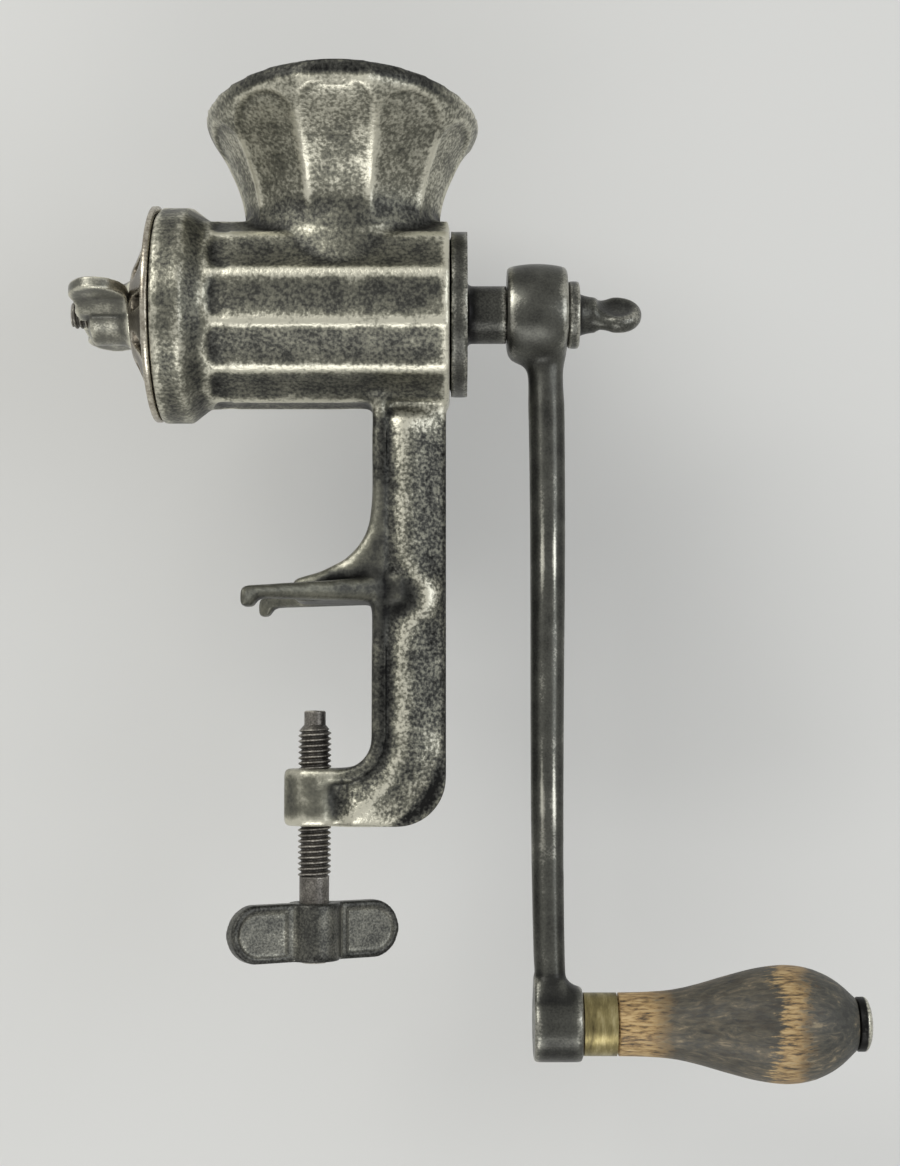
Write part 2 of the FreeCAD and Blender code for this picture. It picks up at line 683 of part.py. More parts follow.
def clamp_plate():
    # upright thumb plate with a round hub, turned as the screw stands
    hub = rod_z("plate_hub", "size.plate_hub_radius", "size.plate_top - size.plate_height",
                "size.plate_height")
    blank = wing("plate_wings", "size.plate_length", "size.plate_height", "size.plate_thickness")
    upright = Rotation(Vector(0, 0, 1), evaluate("size.plate_turn") - 90) * Rotation(Vector(0, 1, 0), 90)
    place(blank, "0", "0", "size.plate_top - size.plate_height / 2", upright)
    bore = rod_z("plate_bore", "size.clamp_shank_radius + size.fit_gap",
                 "size.plate_top - size.plate_height - size.tool_over",
                 "size.plate_height + 2 * size.tool_over")
    return cut("clamp_plate", fuse("plate_form", [hub, blank]), [bore])


nodes = [body_casting(), feed_screw(), cutter_stud(), cutter_disc(), cutter_nut(), crank_arm(),
         crank_thumb_screw(), handle_grip(), handle_ferrule(), handle_bolt(), clamp_screw(), clamp_plate()]
doc.recompute()

for item in doc.Objects:
    if {"Invalid", "Error"} & set(item.State):
        raise RuntimeError(f"{item.Name} failed: {item.State}")
for node in nodes:
    if node.Shape.isNull() or not node.Shape.isValid():
        raise RuntimeError(f"{node.Label} has no valid shape")

os.makedirs("parts", exist_ok=True)
for node in nodes:
    node.Shape.exportStep(f"parts/{node.Label}.step")
    print(node.Label, len(node.Shape.Solids), round(node.Shape.Volume))
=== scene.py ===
import json
import math

import bmesh
import bpy
import numpy as np
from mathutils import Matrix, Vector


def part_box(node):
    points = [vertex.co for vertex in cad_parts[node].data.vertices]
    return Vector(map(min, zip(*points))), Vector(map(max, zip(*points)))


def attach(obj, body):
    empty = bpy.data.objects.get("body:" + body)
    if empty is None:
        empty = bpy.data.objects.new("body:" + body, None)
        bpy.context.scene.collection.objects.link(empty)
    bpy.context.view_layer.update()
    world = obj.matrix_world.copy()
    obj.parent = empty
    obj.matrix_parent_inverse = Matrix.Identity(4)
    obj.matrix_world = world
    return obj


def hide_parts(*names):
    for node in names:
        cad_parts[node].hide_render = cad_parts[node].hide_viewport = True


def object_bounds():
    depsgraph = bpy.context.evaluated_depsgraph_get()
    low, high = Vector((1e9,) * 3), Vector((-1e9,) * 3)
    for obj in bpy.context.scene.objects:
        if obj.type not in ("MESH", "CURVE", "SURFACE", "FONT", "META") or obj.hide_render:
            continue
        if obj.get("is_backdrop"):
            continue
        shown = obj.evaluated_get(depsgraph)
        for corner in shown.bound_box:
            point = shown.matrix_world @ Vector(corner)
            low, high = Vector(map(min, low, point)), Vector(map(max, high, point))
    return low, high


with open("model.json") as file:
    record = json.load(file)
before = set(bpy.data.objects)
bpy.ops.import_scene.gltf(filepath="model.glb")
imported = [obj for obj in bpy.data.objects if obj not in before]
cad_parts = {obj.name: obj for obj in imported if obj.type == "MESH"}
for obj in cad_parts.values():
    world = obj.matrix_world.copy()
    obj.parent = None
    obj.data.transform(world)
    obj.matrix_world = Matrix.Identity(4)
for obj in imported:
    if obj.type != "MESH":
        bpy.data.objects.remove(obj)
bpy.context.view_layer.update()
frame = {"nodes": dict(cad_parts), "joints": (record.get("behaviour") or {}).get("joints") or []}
scene = bpy.context.scene
mm = 0.001
axisZ = frame["joints"][0]["pos_m"][2] / mm  # height of the barrel's axis, in millimetres
handleZ = frame["joints"][1]["pos_m"][2] / mm  # height of the grip's axis
print("frame loaded")


def hexColor(text):  # sRGB hex to linear rgba
    channels = np.array([int(text[i:i + 2], 16) for i in (1, 3, 5)]) / 255
    linear = np.where(channels <= 0.04045, channels / 12.92, ((channels + 0.055) / 1.055) ** 2.4)
    return (*linear.tolist(), 1.0)


def smoothStep(none, full, value):  # eased from 0 at the first value to 1 at the second, either way up
    share = np.clip((value - none) / (full - none), 0, 1)
    return share * share * (3 - 2 * share)


def bell(value, middle, reach):  # 1 at the middle, fading on both sides
    return np.exp(-((value - middle) / reach) ** 2)


def panelSide(turns):  # place across the panel that a count of turns falls in, -1 to 1
    return 2 * (turns - np.floor(turns)) - 1


def zoneShare(points, edges):  # product of eased edges, each (axis, none, full)
    share = np.ones(len(points))
    for axis, none, full in edges:
        share = share * smoothStep(none, full, points[:, "xyz".index(axis)])
    return share


# meshes

def putMesh(name, points, faces):  # points in millimetres
    mesh = bpy.data.meshes.new(name)
    mesh.from_pydata((np.asarray(points) * mm).tolist(), [], np.asarray(faces).tolist())
    bench = bmesh.new()
    bench.from_mesh(mesh)
    bmesh.ops.remove_doubles(bench, verts=bench.verts, dist=1e-7)
    bmesh.ops.recalc_face_normals(bench, faces=bench.faces)
    bench.to_mesh(mesh)
    bench.free()
    piece = bpy.data.objects.new(name, mesh)
    scene.collection.objects.link(piece)
    return piece


def gridFaces(rows, columns, closeRows):  # quads of a grid whose columns go round
    i, j = np.meshgrid(np.arange(rows if closeRows else rows - 1), np.arange(columns), indexing="ij")
    ahead = (i + 1) % rows
    beside = (j + 1) % columns
    return np.stack([i * columns + j, i * columns + beside, ahead * columns + beside, ahead * columns + j],
                    -1).reshape(-1, 4)


def roundCorners(corners, radius, steps=6):
    # each corner of the outline becomes a small curve that leaves it at the given distance
    longest = 0.45  # share of a side that one curve may take
    corners = np.asarray(corners, float)
    rows = [corners[:1]]
    for before, corner, after in zip(corners[:-2], corners[1:-1], corners[2:]):
        back = before - corner
        ahead = after - corner
        reach = min(radius, np.linalg.norm(back) * longest, np.linalg.norm(ahead) * longest)
        start = corner + back / np.linalg.norm(back) * reach
        end = corner + ahead / np.linalg.norm(ahead) * reach
        t = np.linspace(0, 1, steps)[:, None]
        rows.append((1 - t) ** 2 * start + 2 * t * (1 - t) * corner + t ** 2 * end)
    rows.append(corners[-1:])
    return np.concatenate(rows)


def turnedX(name, profile, axisHeight, segments, closed=False):
    # outline of (x, radius) swept round an axis along X
    angle = np.linspace(0, 2 * math.pi, segments, endpoint=False)
    x = np.repeat(profile[:, :1], segments, 1)
    radius = profile[:, 1:]
    points = np.stack([x, radius * np.cos(angle), axisHeight + radius * np.sin(angle)], -1)
    return putMesh(name, points.reshape(-1, 3), gridFaces(len(profile), segments, closed))


def spanMm(node, axis):  # ends of a CAD node's box along one axis
    return tuple(corner["xyz".index(axis)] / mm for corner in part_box(node))


def readPoints(mesh):
    flat = np.empty(len(mesh.vertices) * 3, np.float32)
    mesh.vertices.foreach_get("co", flat)
    return flat.reshape(-1, 3).astype(float) / mm


def readNormals(mesh):
    flat = np.empty(len(mesh.vertices) * 3, np.float32)
    mesh.vertex_normals.foreach_get("vector", flat)
    return flat.reshape(-1, 3).astype(float)


def writePoints(mesh, points):
    mesh.vertices.foreach_set("co", (points * mm).astype(np.float32).ravel())
    mesh.update()


def neighbours(mesh):
    flat = np.empty(len(mesh.edges) * 2, np.int32)
    mesh.edges.foreach_get("vertices", flat)
    ends = flat.reshape(-1, 2)
    counts = np.bincount(ends.ravel(), minlength=len(mesh.vertices))[:, None]
    return ends, np.maximum(counts, 1)


def average(values, near):
    ends, counts = near
    total = np.stack([np.bincount(ends[:, 0], values[ends[:, 1], k], len(values))
                      + np.bincount(ends[:, 1], values[ends[:, 0], k], len(values))
                      for k in range(values.shape[1])], -1)
    return total / counts


def relax(points, near, zone, rounds):
    # draws the points of a zone half way to their neighbours, again and again
    for _ in range(rounds):
        points = points + 0.5 * zone[:, None] * (average(points, near) - points)
    return points


def softCopy(node, name, voxelMm, rounds, roundOver=0, giveBackMm=0.0):
    # merged copy of a CAD solid, remeshed in even cells and relaxed, so edges turn over as on a casting
    mesh = frame["nodes"][node].data.copy()
    bench = bmesh.new()
    bench.from_mesh(mesh)
    bmesh.ops.remove_doubles(bench, verts=bench.verts, dist=1e-6)
    bench.to_mesh(mesh)
    bench.free()
    rough = bpy.data.objects.new(name + ".rough", mesh)
    scene.collection.objects.link(rough)
    cells = rough.modifiers.new("cells", "REMESH")
    cells.mode = "VOXEL"
    cells.voxel_size = voxelMm * mm
    shape = bpy.data.meshes.new_from_object(rough.evaluated_get(bpy.context.evaluated_depsgraph_get()))
    bpy.data.objects.remove(rough)
    shape.name = name
    shape.materials.clear()
    piece = bpy.data.objects.new(name, shape)
    scene.collection.objects.link(piece)
    points = readPoints(shape)
    near = neighbours(shape)
    for _ in range(rounds):
        for share in (0.5, -0.52):  # a smoothing pass, then a push back that keeps the volume
            points = points + share * (average(points, near) - points)
    for _ in range(roundOver):
        points = 0.5 * points + 0.5 * average(points, near)
    writePoints(shape, points)
    if giveBackMm:
        writePoints(shape, points + giveBackMm * readNormals(shape))
    return piece


def wearAndShadingMap(piece, gain, blurRounds, rubsAndShading=0.0, pits=1.0):
    # how far each point stands out from its neighbours: 1 on edges, 0 in hollows, 0.5 on flats;
    # the rubs add wear, and on the clamp and the crank's arm also painted light, painted shade and painted
    # highlights, that the shape alone does not show; pits is how strongly the skin is speckled
    mesh = piece.data
    points = readPoints(mesh)
    near = neighbours(mesh)
    smooth = points
    for _ in range(blurRounds):
        smooth = average(smooth, near)
    proud = ((points - smooth) * readNormals(mesh)).sum(1, keepdims=True)
    for _ in range(2):
        proud = average(proud, near)
    hollow, edge = -0.22, 0.3  # the most that the shape alone takes off or adds
    wearAndShading = np.clip(0.5 + np.clip(gain * proud[:, 0], hollow, edge) + rubsAndShading, 0, 1)
    for name, values in (("wearAndShading", wearAndShading), ("pits", np.broadcast_to(pits, wearAndShading.shape))):
        layer = mesh.attributes.new(name, "FLOAT", "POINT")
        layer.data.foreach_set("value", np.ascontiguousarray(values, np.float32))


def dress(piece, body, material, node):
    # held inside the solid's own box, then handed to the frame
    low, high = (np.array(corner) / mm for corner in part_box(node))
    writePoints(piece.data, np.clip(readPoints(piece.data), low, high))
    piece.data.materials.clear()
    piece.data.materials.append(material)
    piece.data.polygons.foreach_set("use_smooth", np.ones(len(piece.data.polygons), bool))
    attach(piece, body)
    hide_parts(node)


# materials

def addNode(tree, kind, settings, inputs, stops=()):
    # inputs are values or links; stops are a colour ramp's (place, colour), its two ends first
    node = tree.nodes.new(kind)
    for key, value in settings.items():
        setattr(node, key, value)
    for key, value in inputs.items():
        if isinstance(value, bpy.types.NodeSocket):
            tree.links.new(value, node.inputs[key])
        else:
            node.inputs[key].default_value = value
    if stops:
        elements = node.color_ramp.elements
        for element, (place, colour) in zip(elements, stops):
            element.position = place
            element.color = colour
        for place, colour in stops[2:]:
            elements.new(place).color = colour
    return node


def hexStops(stops):
    return [(place, hexColor(text)) for place, text in stops]


def newMaterial(name):
    material = bpy.data.materials.new(name)
    material.use_nodes = True
    material.node_tree.nodes.clear()
    return material, material.node_tree


def finishMaterial(tree, shaderInputs):
    shader = addNode(tree, "ShaderNodeBsdfPrincipled", {}, shaderInputs)
    addNode(tree, "ShaderNodeOutputMaterial", {}, {"Surface": shader.outputs["BSDF"]})


ironSkin = {"cloudDetail": 3.0, "grainDetail": 2.0, "roughness": 0.55, "speckFrom": (0.32, 0.64),
            "deepAt": 0.2, "skinAt": 0.45, "rubbedAt": 0.68, "brightAt": 0.95,  # wear level of each colour
            "roughFrom": (0.3, 0.9), "bumpShare": 0.5}


def wornIron(spec):
    # cast or forged iron, once tinned: dark mottled skin, rubbed bright where it stands proud, and lighter or
    # darker where its wear map carries painted light and painted shade;
    # its grain is drawn coarser than real pitting, which would be too fine to show
    material, tree = newMaterial(spec["name"])
    place = addNode(tree, "ShaderNodeTexCoord", {}, {}).outputs["Object"]
    wearAndShading, pits = (addNode(tree, "ShaderNodeAttribute", {"attribute_name": name}, {}).outputs["Fac"]
                  for name in ("wearAndShading", "pits"))
    clouds, grain = (addNode(tree, "ShaderNodeTexNoise", {}, {
        "Vector": place, "Scale": 1 / (spec[name + "Mm"] * mm), "Detail": ironSkin[name + "Detail"],
        "Roughness": ironSkin["roughness"]}).outputs["Fac"] for name in ("cloud", "grain"))
    specks = addNode(tree, "ShaderNodeMapRange", {}, {
        "Value": grain, "From Min": ironSkin["speckFrom"][0], "From Max": ironSkin["speckFrom"][1],
        "To Min": -spec["speckle"] / 2, "To Max": spec["speckle"] / 2})
    worn = addNode(tree, "ShaderNodeMath", {"operation": "MULTIPLY_ADD"}, {
        0: clouds, 1: spec["cloudiness"], 2: wearAndShading})
    level = addNode(tree, "ShaderNodeMath", {"operation": "MULTIPLY_ADD"}, {
        0: specks.outputs["Result"], 1: pits, 2: worn.outputs[0]})
    share = addNode(tree, "ShaderNodeMath", {"operation": "SUBTRACT"}, {
        0: level.outputs[0], 1: spec["cloudiness"] / 2}).outputs[0]
    colour = addNode(tree, "ShaderNodeValToRGB", {}, {"Fac": share}, hexStops([
        (ironSkin[name + "At"], spec[name]) for name in ("deep", "bright", "skin", "rubbed")]))
    rough = addNode(tree, "ShaderNodeMapRange", {}, {
        "Value": share, "From Min": ironSkin["roughFrom"][0], "From Max": ironSkin["roughFrom"][1],
        "To Min": spec["roughSkin"], "To Max": spec["roughRubbed"]})
    bump = addNode(tree, "ShaderNodeBump", {}, {
        "Strength": spec["bump"], "Distance": spec["grainMm"] * mm * ironSkin["bumpShare"], "Height": grain})
    finishMaterial(tree, {"Base Color": colour.outputs["Color"], "Metallic": spec["metallic"],
                          "Roughness": rough.outputs["Result"], "Normal": bump.outputs["Normal"]})
    return material


tinnedIron = wornIron({  # sand cast, its tin worn thin: coarse speckled skin with pale edges
    "name": "tinned_cast_iron",
    "deep": "#131312", "skin": "#42423e", "rubbed": "#757468", "bright": "#cfccbb",
    "cloudMm": 6.0, "grainMm": 1.0, "cloudiness": 0.5, "speckle": 0.44,
    "roughSkin": 0.5, "roughRubbed": 0.36, "bump": 0.3, "metallic": 0.8})
plateIron = wornIron({  # smaller castings, much handled: finer skin with bright rubs
    "name": "tinned_iron_smooth",
    "deep": "#161615", "skin": "#4a4a46", "rubbed": "#75746b", "bright": "#dfdcca",
    "cloudMm": 5.0, "grainMm": 0.6, "cloudiness": 0.5, "speckle": 0.22,
    "roughSkin": 0.42, "roughRubbed": 0.26, "bump": 0.2, "metallic": 0.8})
forgedIron = wornIron({  # forged and blackened: an almost black satin
    "name": "blackened_forged_iron",
    "deep": "#171717", "skin": "#353532", "rubbed": "#5a5a54", "bright": "#c9c7ba",
    "cloudMm": 8.0, "grainMm": 0.6, "cloudiness": 0.45, "speckle": 0.16,
    "roughSkin": 0.4, "roughRubbed": 0.27, "bump": 0.15, "metallic": 0.8})
threadSteel = wornIron({  # cut thread under old oil: dull brown-grey, paler on its crests
    "name": "oiled_thread_steel",
    "deep": "#171513", "skin": "#474440", "rubbed": "#74706a", "bright": "#bdb9ae",
    "cloudMm": 4.0, "grainMm": 0.5, "cloudiness": 0.45, "speckle": 0.2,
    "roughSkin": 0.5, "roughRubbed": 0.32, "bump": 0.2, "metallic": 0.75})
cutterSteel = wornIron({  # ground and used: warm grey, the smoothest of the five
    "name": "polished_cutter_steel",
    "deep": "#26231e", "skin": "#585248", "rubbed": "#867e71", "bright": "#d5cfbf",
    "cloudMm": 6.0, "grainMm": 0.8, "cloudiness": 0.45, "speckle": 0.14,
    "roughSkin": 0.38, "roughRubbed": 0.24, "bump": 0.08, "metallic": 0.9})
print("metals mixed")

# casting: hopper, barrel and clamp in one piece, each with its own sizes;
# a pair of values is where an effect starts and where it is full, and a rub is added to the wear map: most
# rubs are wear, and on the clamp some are painted light and painted shade

casting = {"voxelMm": 0.85, "rounds": 9, "wearGain": 1.0, "wearBlur": 8,
           "pits": 0.55, "webPits": 0.3, "smoothPits": -0.35}
clamp = {
    "columnX": 20.5, "armZ": -48.9, "webHalf": 6.5, "bendX": 8.1, "bendZ": -36.5, "bendMm": 12.4,
    "bodyMm": 17.3, "swellMm": 3.4, "startShare": 0.45, "fallTurn": 0.62, "sideMm": (-1.8, -0.3),
    "sideOverMm": 2.5, "settleRounds": 4, "settleShare": 0.6, "settleMm": -4, "settleTopZ": 62, "settleX": 5,
    "crestMm": 4.6, "crestRoundJawMm": 8.0, "jawZ": 4, "jawReachMm": 7.5, "crestOverArmMm": 8.5,
    "crestWidthMm": 1.9, "innerMm": 1.4, "innerWidthMm": 1.3,
    "webMm": (0.5, 3.0), "flangeMm": (0.7, -0.3), "rimMm": (15.0, 16.8),
    "bendInMm": (8, 13), "bendOutMm": (17.0, 15.4), "rootX": 16.6, "rootWideMm": 14.5,
    "rootTallMm": 8.5, "rootEdge": (1.05, 0.7), "rootFromX": (19, 21), "ribZ": (11, 14),
    "ribFootZ": 12, "ribFootMm": 4, "jawRounds": 14,
    "zones": {
        "swell": [("z", 60, 55), ("x", 7, 12)], "crestOverArm": [("x", 24, 4), ("z", -34, -46)],
        "all": [("z", 58, 54), ("x", -30, -28)], "boss": [("x", 9, 5), ("z", -40, -43)],
        "arm": [("z", -44, -52), ("x", 22, 14)], "shoulder": [("z", 47, 55), ("z", 62, 59)],
        # the bend zone marks where painted light lifts the lower arm's faces that turn from the light
        "bend": [("z", -26, -40)], "jaw": [("x", 21.5, 19.5), ("z", -7, -5), ("z", 40, 34)],
        "softJaw": [("x", 26, 21), ("z", -12, -7), ("z", 46, 38)],
        "softCorner": [("x", 24, 19), ("x", 6, 10), ("z", 50, 55), ("z", 68, 62)],
        "softBoss": [("x", 10, 7), ("z", -40, -44)]},
    # crest is partly wear and partly a painted highlight; flange and root are painted shade; inner, bend, rib
    # and ribFoot are painted light lifting shaded faces and corners
    "rubsAndShading": {
        "web": -0.1, "crest": 0.27, "flange": -0.23, "inner": 0.13, "arm": 0.16, "boss": 0.02, "rim": -0.22,
        "bend": 0.22, "shoulder": 0.16, "jaw": 0.1, "rib": 0.1, "ribFoot": 0.16, "root": -0.1}}


def columnDepth(points):  # distance from the flange into the web, round the bend and along the arm
    x, z = points[:, 0], points[:, 2]
    aroundBend = np.hypot(x - clamp["bendX"], z - clamp["bendZ"]) - clamp["bendMm"]
    bent = np.where(x <= clamp["bendX"], clamp["armZ"] - z, aroundBend)
    return np.where(z >= clamp["bendZ"], x - clamp["columnX"], bent)


def crestDepth(points):  # the crest runs down the web, steps out round the jaw's root, and crosses the arm
    around = clamp["crestRoundJawMm"] * bell(points[:, 2], clamp["jawZ"], clamp["jawReachMm"])
    overArm = clamp["crestOverArmMm"] * zoneShare(points, clamp["zones"]["crestOverArm"])
    return clamp["crestMm"] + around + overArm


def swellColumn(piece):
    # the clamp's web is proud along a crest and falls away to its outer edge:
    # a sine rise from the flange up to the crest, then a cosine fall to below the flat
    mesh = piece.data
    points = readPoints(mesh)
    x, y, z = points.T
    inward = columnDepth(points)
    crest = crestDepth(points)
    start = clamp["startShare"]
    rise = start + (1 - start) * np.sin(np.clip(inward / crest, 0, 1) * math.pi / 2)
    fall = np.cos(np.clip((inward - crest) / (clamp["bodyMm"] - crest), 0, 1) * math.pi * clamp["fallTurn"])
    swell = clamp["swellMm"] * np.where(inward < crest, rise, fall)
    fromSide = np.abs(y) - clamp["webHalf"]
    onWeb = smoothStep(*clamp["sideMm"], fromSide) * (inward > 0) * (fromSide < clamp["sideOverMm"])
    near = neighbours(mesh)
    zone = ((inward > clamp["settleMm"]) & (z < clamp["settleTopZ"]) & (x > clamp["settleX"]))[:, None]
    points[:, 1] += np.sign(y) * swell * zoneShare(points, clamp["zones"]["swell"]) * onWeb
    share = clamp["settleShare"]
    for _ in range(clamp["settleRounds"]):
        points = np.where(zone, (1 - share) * points + share * average(points, near), points)
    writePoints(mesh, points)


def softenJaw(piece):
    # the jaw's toes and root, the clamp's boss and the corner under the barrel are rounded over
    points = readPoints(piece.data)
    zones = [zoneShare(points, clamp["zones"][name]) for name in ("softJaw", "softCorner", "softBoss")]
    writePoints(piece.data, relax(points, neighbours(piece.data), np.max(zones, 0), clamp["jawRounds"]))


def clampRubAndShade(points):
    # crest rubbed bright, partly wear and partly a painted highlight; painted light on the bend's faces that
    # turn from the light, in the corner between flange and web and on the rib's shadowed side; painted shade
    # on the flange and in the jaw's root; jaw rubbed bright and rim dark; also how strongly the casting's
    # skin is speckled
    x, z = points[:, 0], points[:, 2]
    rub = clamp["rubsAndShading"]
    zone = {name: zoneShare(points, clamp["zones"][name])
            for name in ("all", "boss", "arm", "shoulder", "bend", "jaw")}
    inward = columnDepth(points)
    onWeb = smoothStep(*clamp["webMm"], inward)
    # the crest term is partly wear and partly a painted highlight along the web's convex crest
    web = (rub["web"] + rub["crest"] * bell(inward, crestDepth(points), clamp["crestWidthMm"])
           # the flange term is painted shade, darkening the flange's face that turns from the light
           + rub["flange"] * smoothStep(*clamp["flangeMm"], inward) + rub["arm"] * zone["arm"]
           # the inner term is painted light, lifting the self-shadow in the corner between flange and web
           + rub["inner"] * bell(inward, clamp["innerMm"], clamp["innerWidthMm"]))
    # painted light: lifts the lower arm's faces round the bend that turn down, away from the light
    bend = zone["bend"] * smoothStep(*clamp["bendInMm"], inward) * smoothStep(*clamp["bendOutMm"], inward)
    # the rib terms are painted light, lifting the shadow where the rib meets the jaw's prong
    jaw = (rub["jaw"] + rub["rib"] * smoothStep(*clamp["ribZ"], z)
           + rub["ribFoot"] * bell(z, clamp["ribFootZ"], clamp["ribFootMm"]))
    # the jaw's root is painted shade: a darker, less speckled pocket where the jaw meets the web
    fromRoot = np.hypot((x - clamp["rootX"]) / clamp["rootWideMm"], (z - clamp["jawZ"]) / clamp["rootTallMm"])
    root = smoothStep(*clamp["rootEdge"], fromRoot) * smoothStep(*clamp["rootFromX"], x)
    total = zone["all"] * ((1 - zone["boss"]) * web + rub["boss"] * zone["boss"]
                           + rub["rim"] * smoothStep(*clamp["rimMm"], inward))
    total += rub["shoulder"] * zone["shoulder"] * onWeb + rub["bend"] * bend
    total += zone["jaw"] * jaw + rub["root"] * root
    smooth = np.max([zone["jaw"], root, zone["boss"]], 0)
    pits = (casting["pits"] + casting["webPits"] * zone["all"] * onWeb * (1 - smooth)
            + casting["smoothPits"] * smooth)
    return total, pits


hopper = {  # rises are heights over the barrel's axis, out is the share of the way to the outer wall
    "flutes": 10, "fluteDepthMm": 1.0, "ridgeShare": 0.08, "archMm": 9.0, "lipMm": 4.6, "fadeMm": 1.8,
    "middleX": 7.5, "neckX": 28.6, "neckY": 22.5, "mouthX": 38.9, "mouthY": 46.0, "flarePower": 1.5,
    "neckRise": 29.0, "lipRise": 52.6, "rimRise": 61.0, "rimSag": 4.6,
    "cutOut": (0.955, 0.98), "cutRise": (22, 30), "skinOut": (0.93, 0.97), "skinRise": (27, 31),
    "ridgeSide": (0.82, 0.97), "ridgeBelow": (-1.5, 0.5), "floorBelow": (0, 2),
    "archAt": 0.3, "archReach": 0.9, "lipOut": (0.8, 0.9), "lipFromRise": (40, 45), "lipUnderRim": (4.8, 3.2),
    "lipMiddle": (0.95, 0.6), "rub": 0.1, "floorRub": 0.14, "ridgeRub": 0.12, "archShare": 0.42,
    "lipRub": -0.06, "lipMiddleRub": -0.42}


def hopperPanels(points):
    # place of each point on the funnel: how far out it is (1 on the outer wall), its side of the panel
    # it is in (-1 to 1 from edge to edge), and its depth below the panel's arched top and below the rim
    rise = points[:, 2] - axisZ
    flare = (rise - hopper["neckRise"]) / (hopper["lipRise"] - hopper["neckRise"])
    flare = np.clip(flare, 0, 1) ** hopper["flarePower"]
    halfX = hopper["neckX"] + flare * (hopper["mouthX"] - hopper["neckX"])
    halfY = hopper["neckY"] + flare * (hopper["mouthY"] - hopper["neckY"])
    across = (points[:, 0] - hopper["middleX"]) / halfX
    deep = points[:, 1] / halfY
    turn = (np.arctan2(deep, across) + math.pi / 2) / (2 * math.pi)
    side = panelSide(turn * hopper["flutes"] + 0.5)
    underRim = hopper["rimRise"] - hopper["rimSag"] * across ** 2 - rise
    arch = hopper["archMm"] * (1 - np.sqrt(np.clip(1 - side ** 2, 0, 1)))
    return np.hypot(across, deep), side, underRim - hopper["lipMm"] - arch, underRim, rise


def fluteHopper(piece):
    # concave panels with arched tops: depth falls off across each panel, and to nothing above its arch
    mesh = piece.data
    points = readPoints(mesh)
    out, side, below, _, rise = hopperPanels(points)
    edge = np.clip(1 - (side / (1 - hopper["ridgeShare"])) ** 2, 0, 1)
    reach = (smoothStep(*hopper["cutOut"], out) * smoothStep(0, hopper["fadeMm"], below)
             * smoothStep(*hopper["cutRise"], rise))
    depth = hopper["fluteDepthMm"] * reach * np.sqrt(edge)
    writePoints(mesh, points - readNormals(mesh) * depth[:, None])


def hopperRub(points):  # ridges and arches between the panels rubbed bright, the lip dark
    out, side, below, underRim, rise = hopperPanels(points)
    ridge = smoothStep(*hopper["ridgeSide"], np.abs(side)) * smoothStep(*hopper["ridgeBelow"], below)
    arch = hopper["archShare"] * bell(below, hopper["archAt"], hopper["archReach"])
    panels = (hopper["rub"] + hopper["floorRub"] * smoothStep(*hopper["floorBelow"], below)
              + hopper["ridgeRub"] * np.maximum(ridge, arch))
    onHopper = smoothStep(*hopper["skinOut"], out) * smoothStep(*hopper["skinRise"], rise)
    middle = smoothStep(*hopper["lipMiddle"], np.abs(points[:, 0] - hopper["middleX"]) / hopper["mouthX"])
    onLip = (smoothStep(*hopper["lipOut"], out) * smoothStep(*hopper["lipFromRise"], rise)
             * smoothStep(*hopper["lipUnderRim"], underRim))
    return onHopper * panels + onLip * (hopper["lipRub"] + hopper["lipMiddleRub"] * middle)


barrel = {
    "radiusMm": 27.6, "flutes": 12, "fluteDepthMm": 1.4, "fluteX": -29.6, "roundEndMm": 3.4,
    "cutMm": (-0.5, 1.1), "carryX": (-31, -23.5), "carryMm": (25.6, 28.1), "carryTop": 27,
    "skinIn": (25.0, 25.8), "skinOut": (30.5, 29.4), "skinX": (-33, -31), "skinRise": (31, 28),
    "landSide": (0.7, 0.92), "landFront": (1.2, -0.6), "landFrontShare": 0.8, "landRearX": (36.8, 38.0),
    "rub": 0.04, "landRub": 0.24}


def barrelPanels(points):
    # side of the flute each point is in, its radius, and its distance behind the flute's round end
    height = points[:, 2] - axisZ
    turn = np.arctan2(height, points[:, 1]) / (2 * math.pi)
    side = panelSide(turn * barrel["flutes"] + 0.5)
    end = barrel["fluteX"] + barrel["roundEndMm"] * (1 - np.sqrt(np.clip(1 - side ** 2, 0, 1)))
    return side, np.hypot(points[:, 1], height), points[:, 0] - end


def roundFlutes(piece):
    # carries the barrel's flutes forward to the ring's shoulder, where each runs out in a round end
    points = readPoints(piece.data)
    x, height = points[:, 0], points[:, 2] - axisZ
    side, radius, behind = barrelPanels(points)
    depth = barrel["fluteDepthMm"] * (1 - side ** 2) * smoothStep(*barrel["cutMm"], behind)
    front, rear = barrel["carryX"]
    inner, outer = barrel["carryMm"]
    near = (x > front) & (x < rear) & (radius > inner) & (radius < outer) & (height < barrel["carryTop"])
    share = np.where(near, np.minimum(1, (barrel["radiusMm"] - depth) / np.maximum(radius, 1)), 1)
    points[:, 1] *= share
    points[:, 2] = axisZ + height * share
    writePoints(piece.data, points)


def barrelRub(points):  # lands between the flutes and at their ends rubbed bright
    side, radius, behind = barrelPanels(points)
    x, rise = points[:, 0], points[:, 2] - axisZ
    onBarrel = (smoothStep(*barrel["skinIn"], radius) * smoothStep(*barrel["skinOut"], radius)
                * smoothStep(*barrel["skinX"], x) * smoothStep(*barrel["skinRise"], rise))
    land = np.max([smoothStep(*barrel["landSide"], np.abs(side)), smoothStep(*barrel["landRearX"], x),
                   barrel["landFrontShare"] * smoothStep(*barrel["landFront"], behind)], 0)
    return onBarrel * (barrel["landRub"] * land + barrel["rub"])


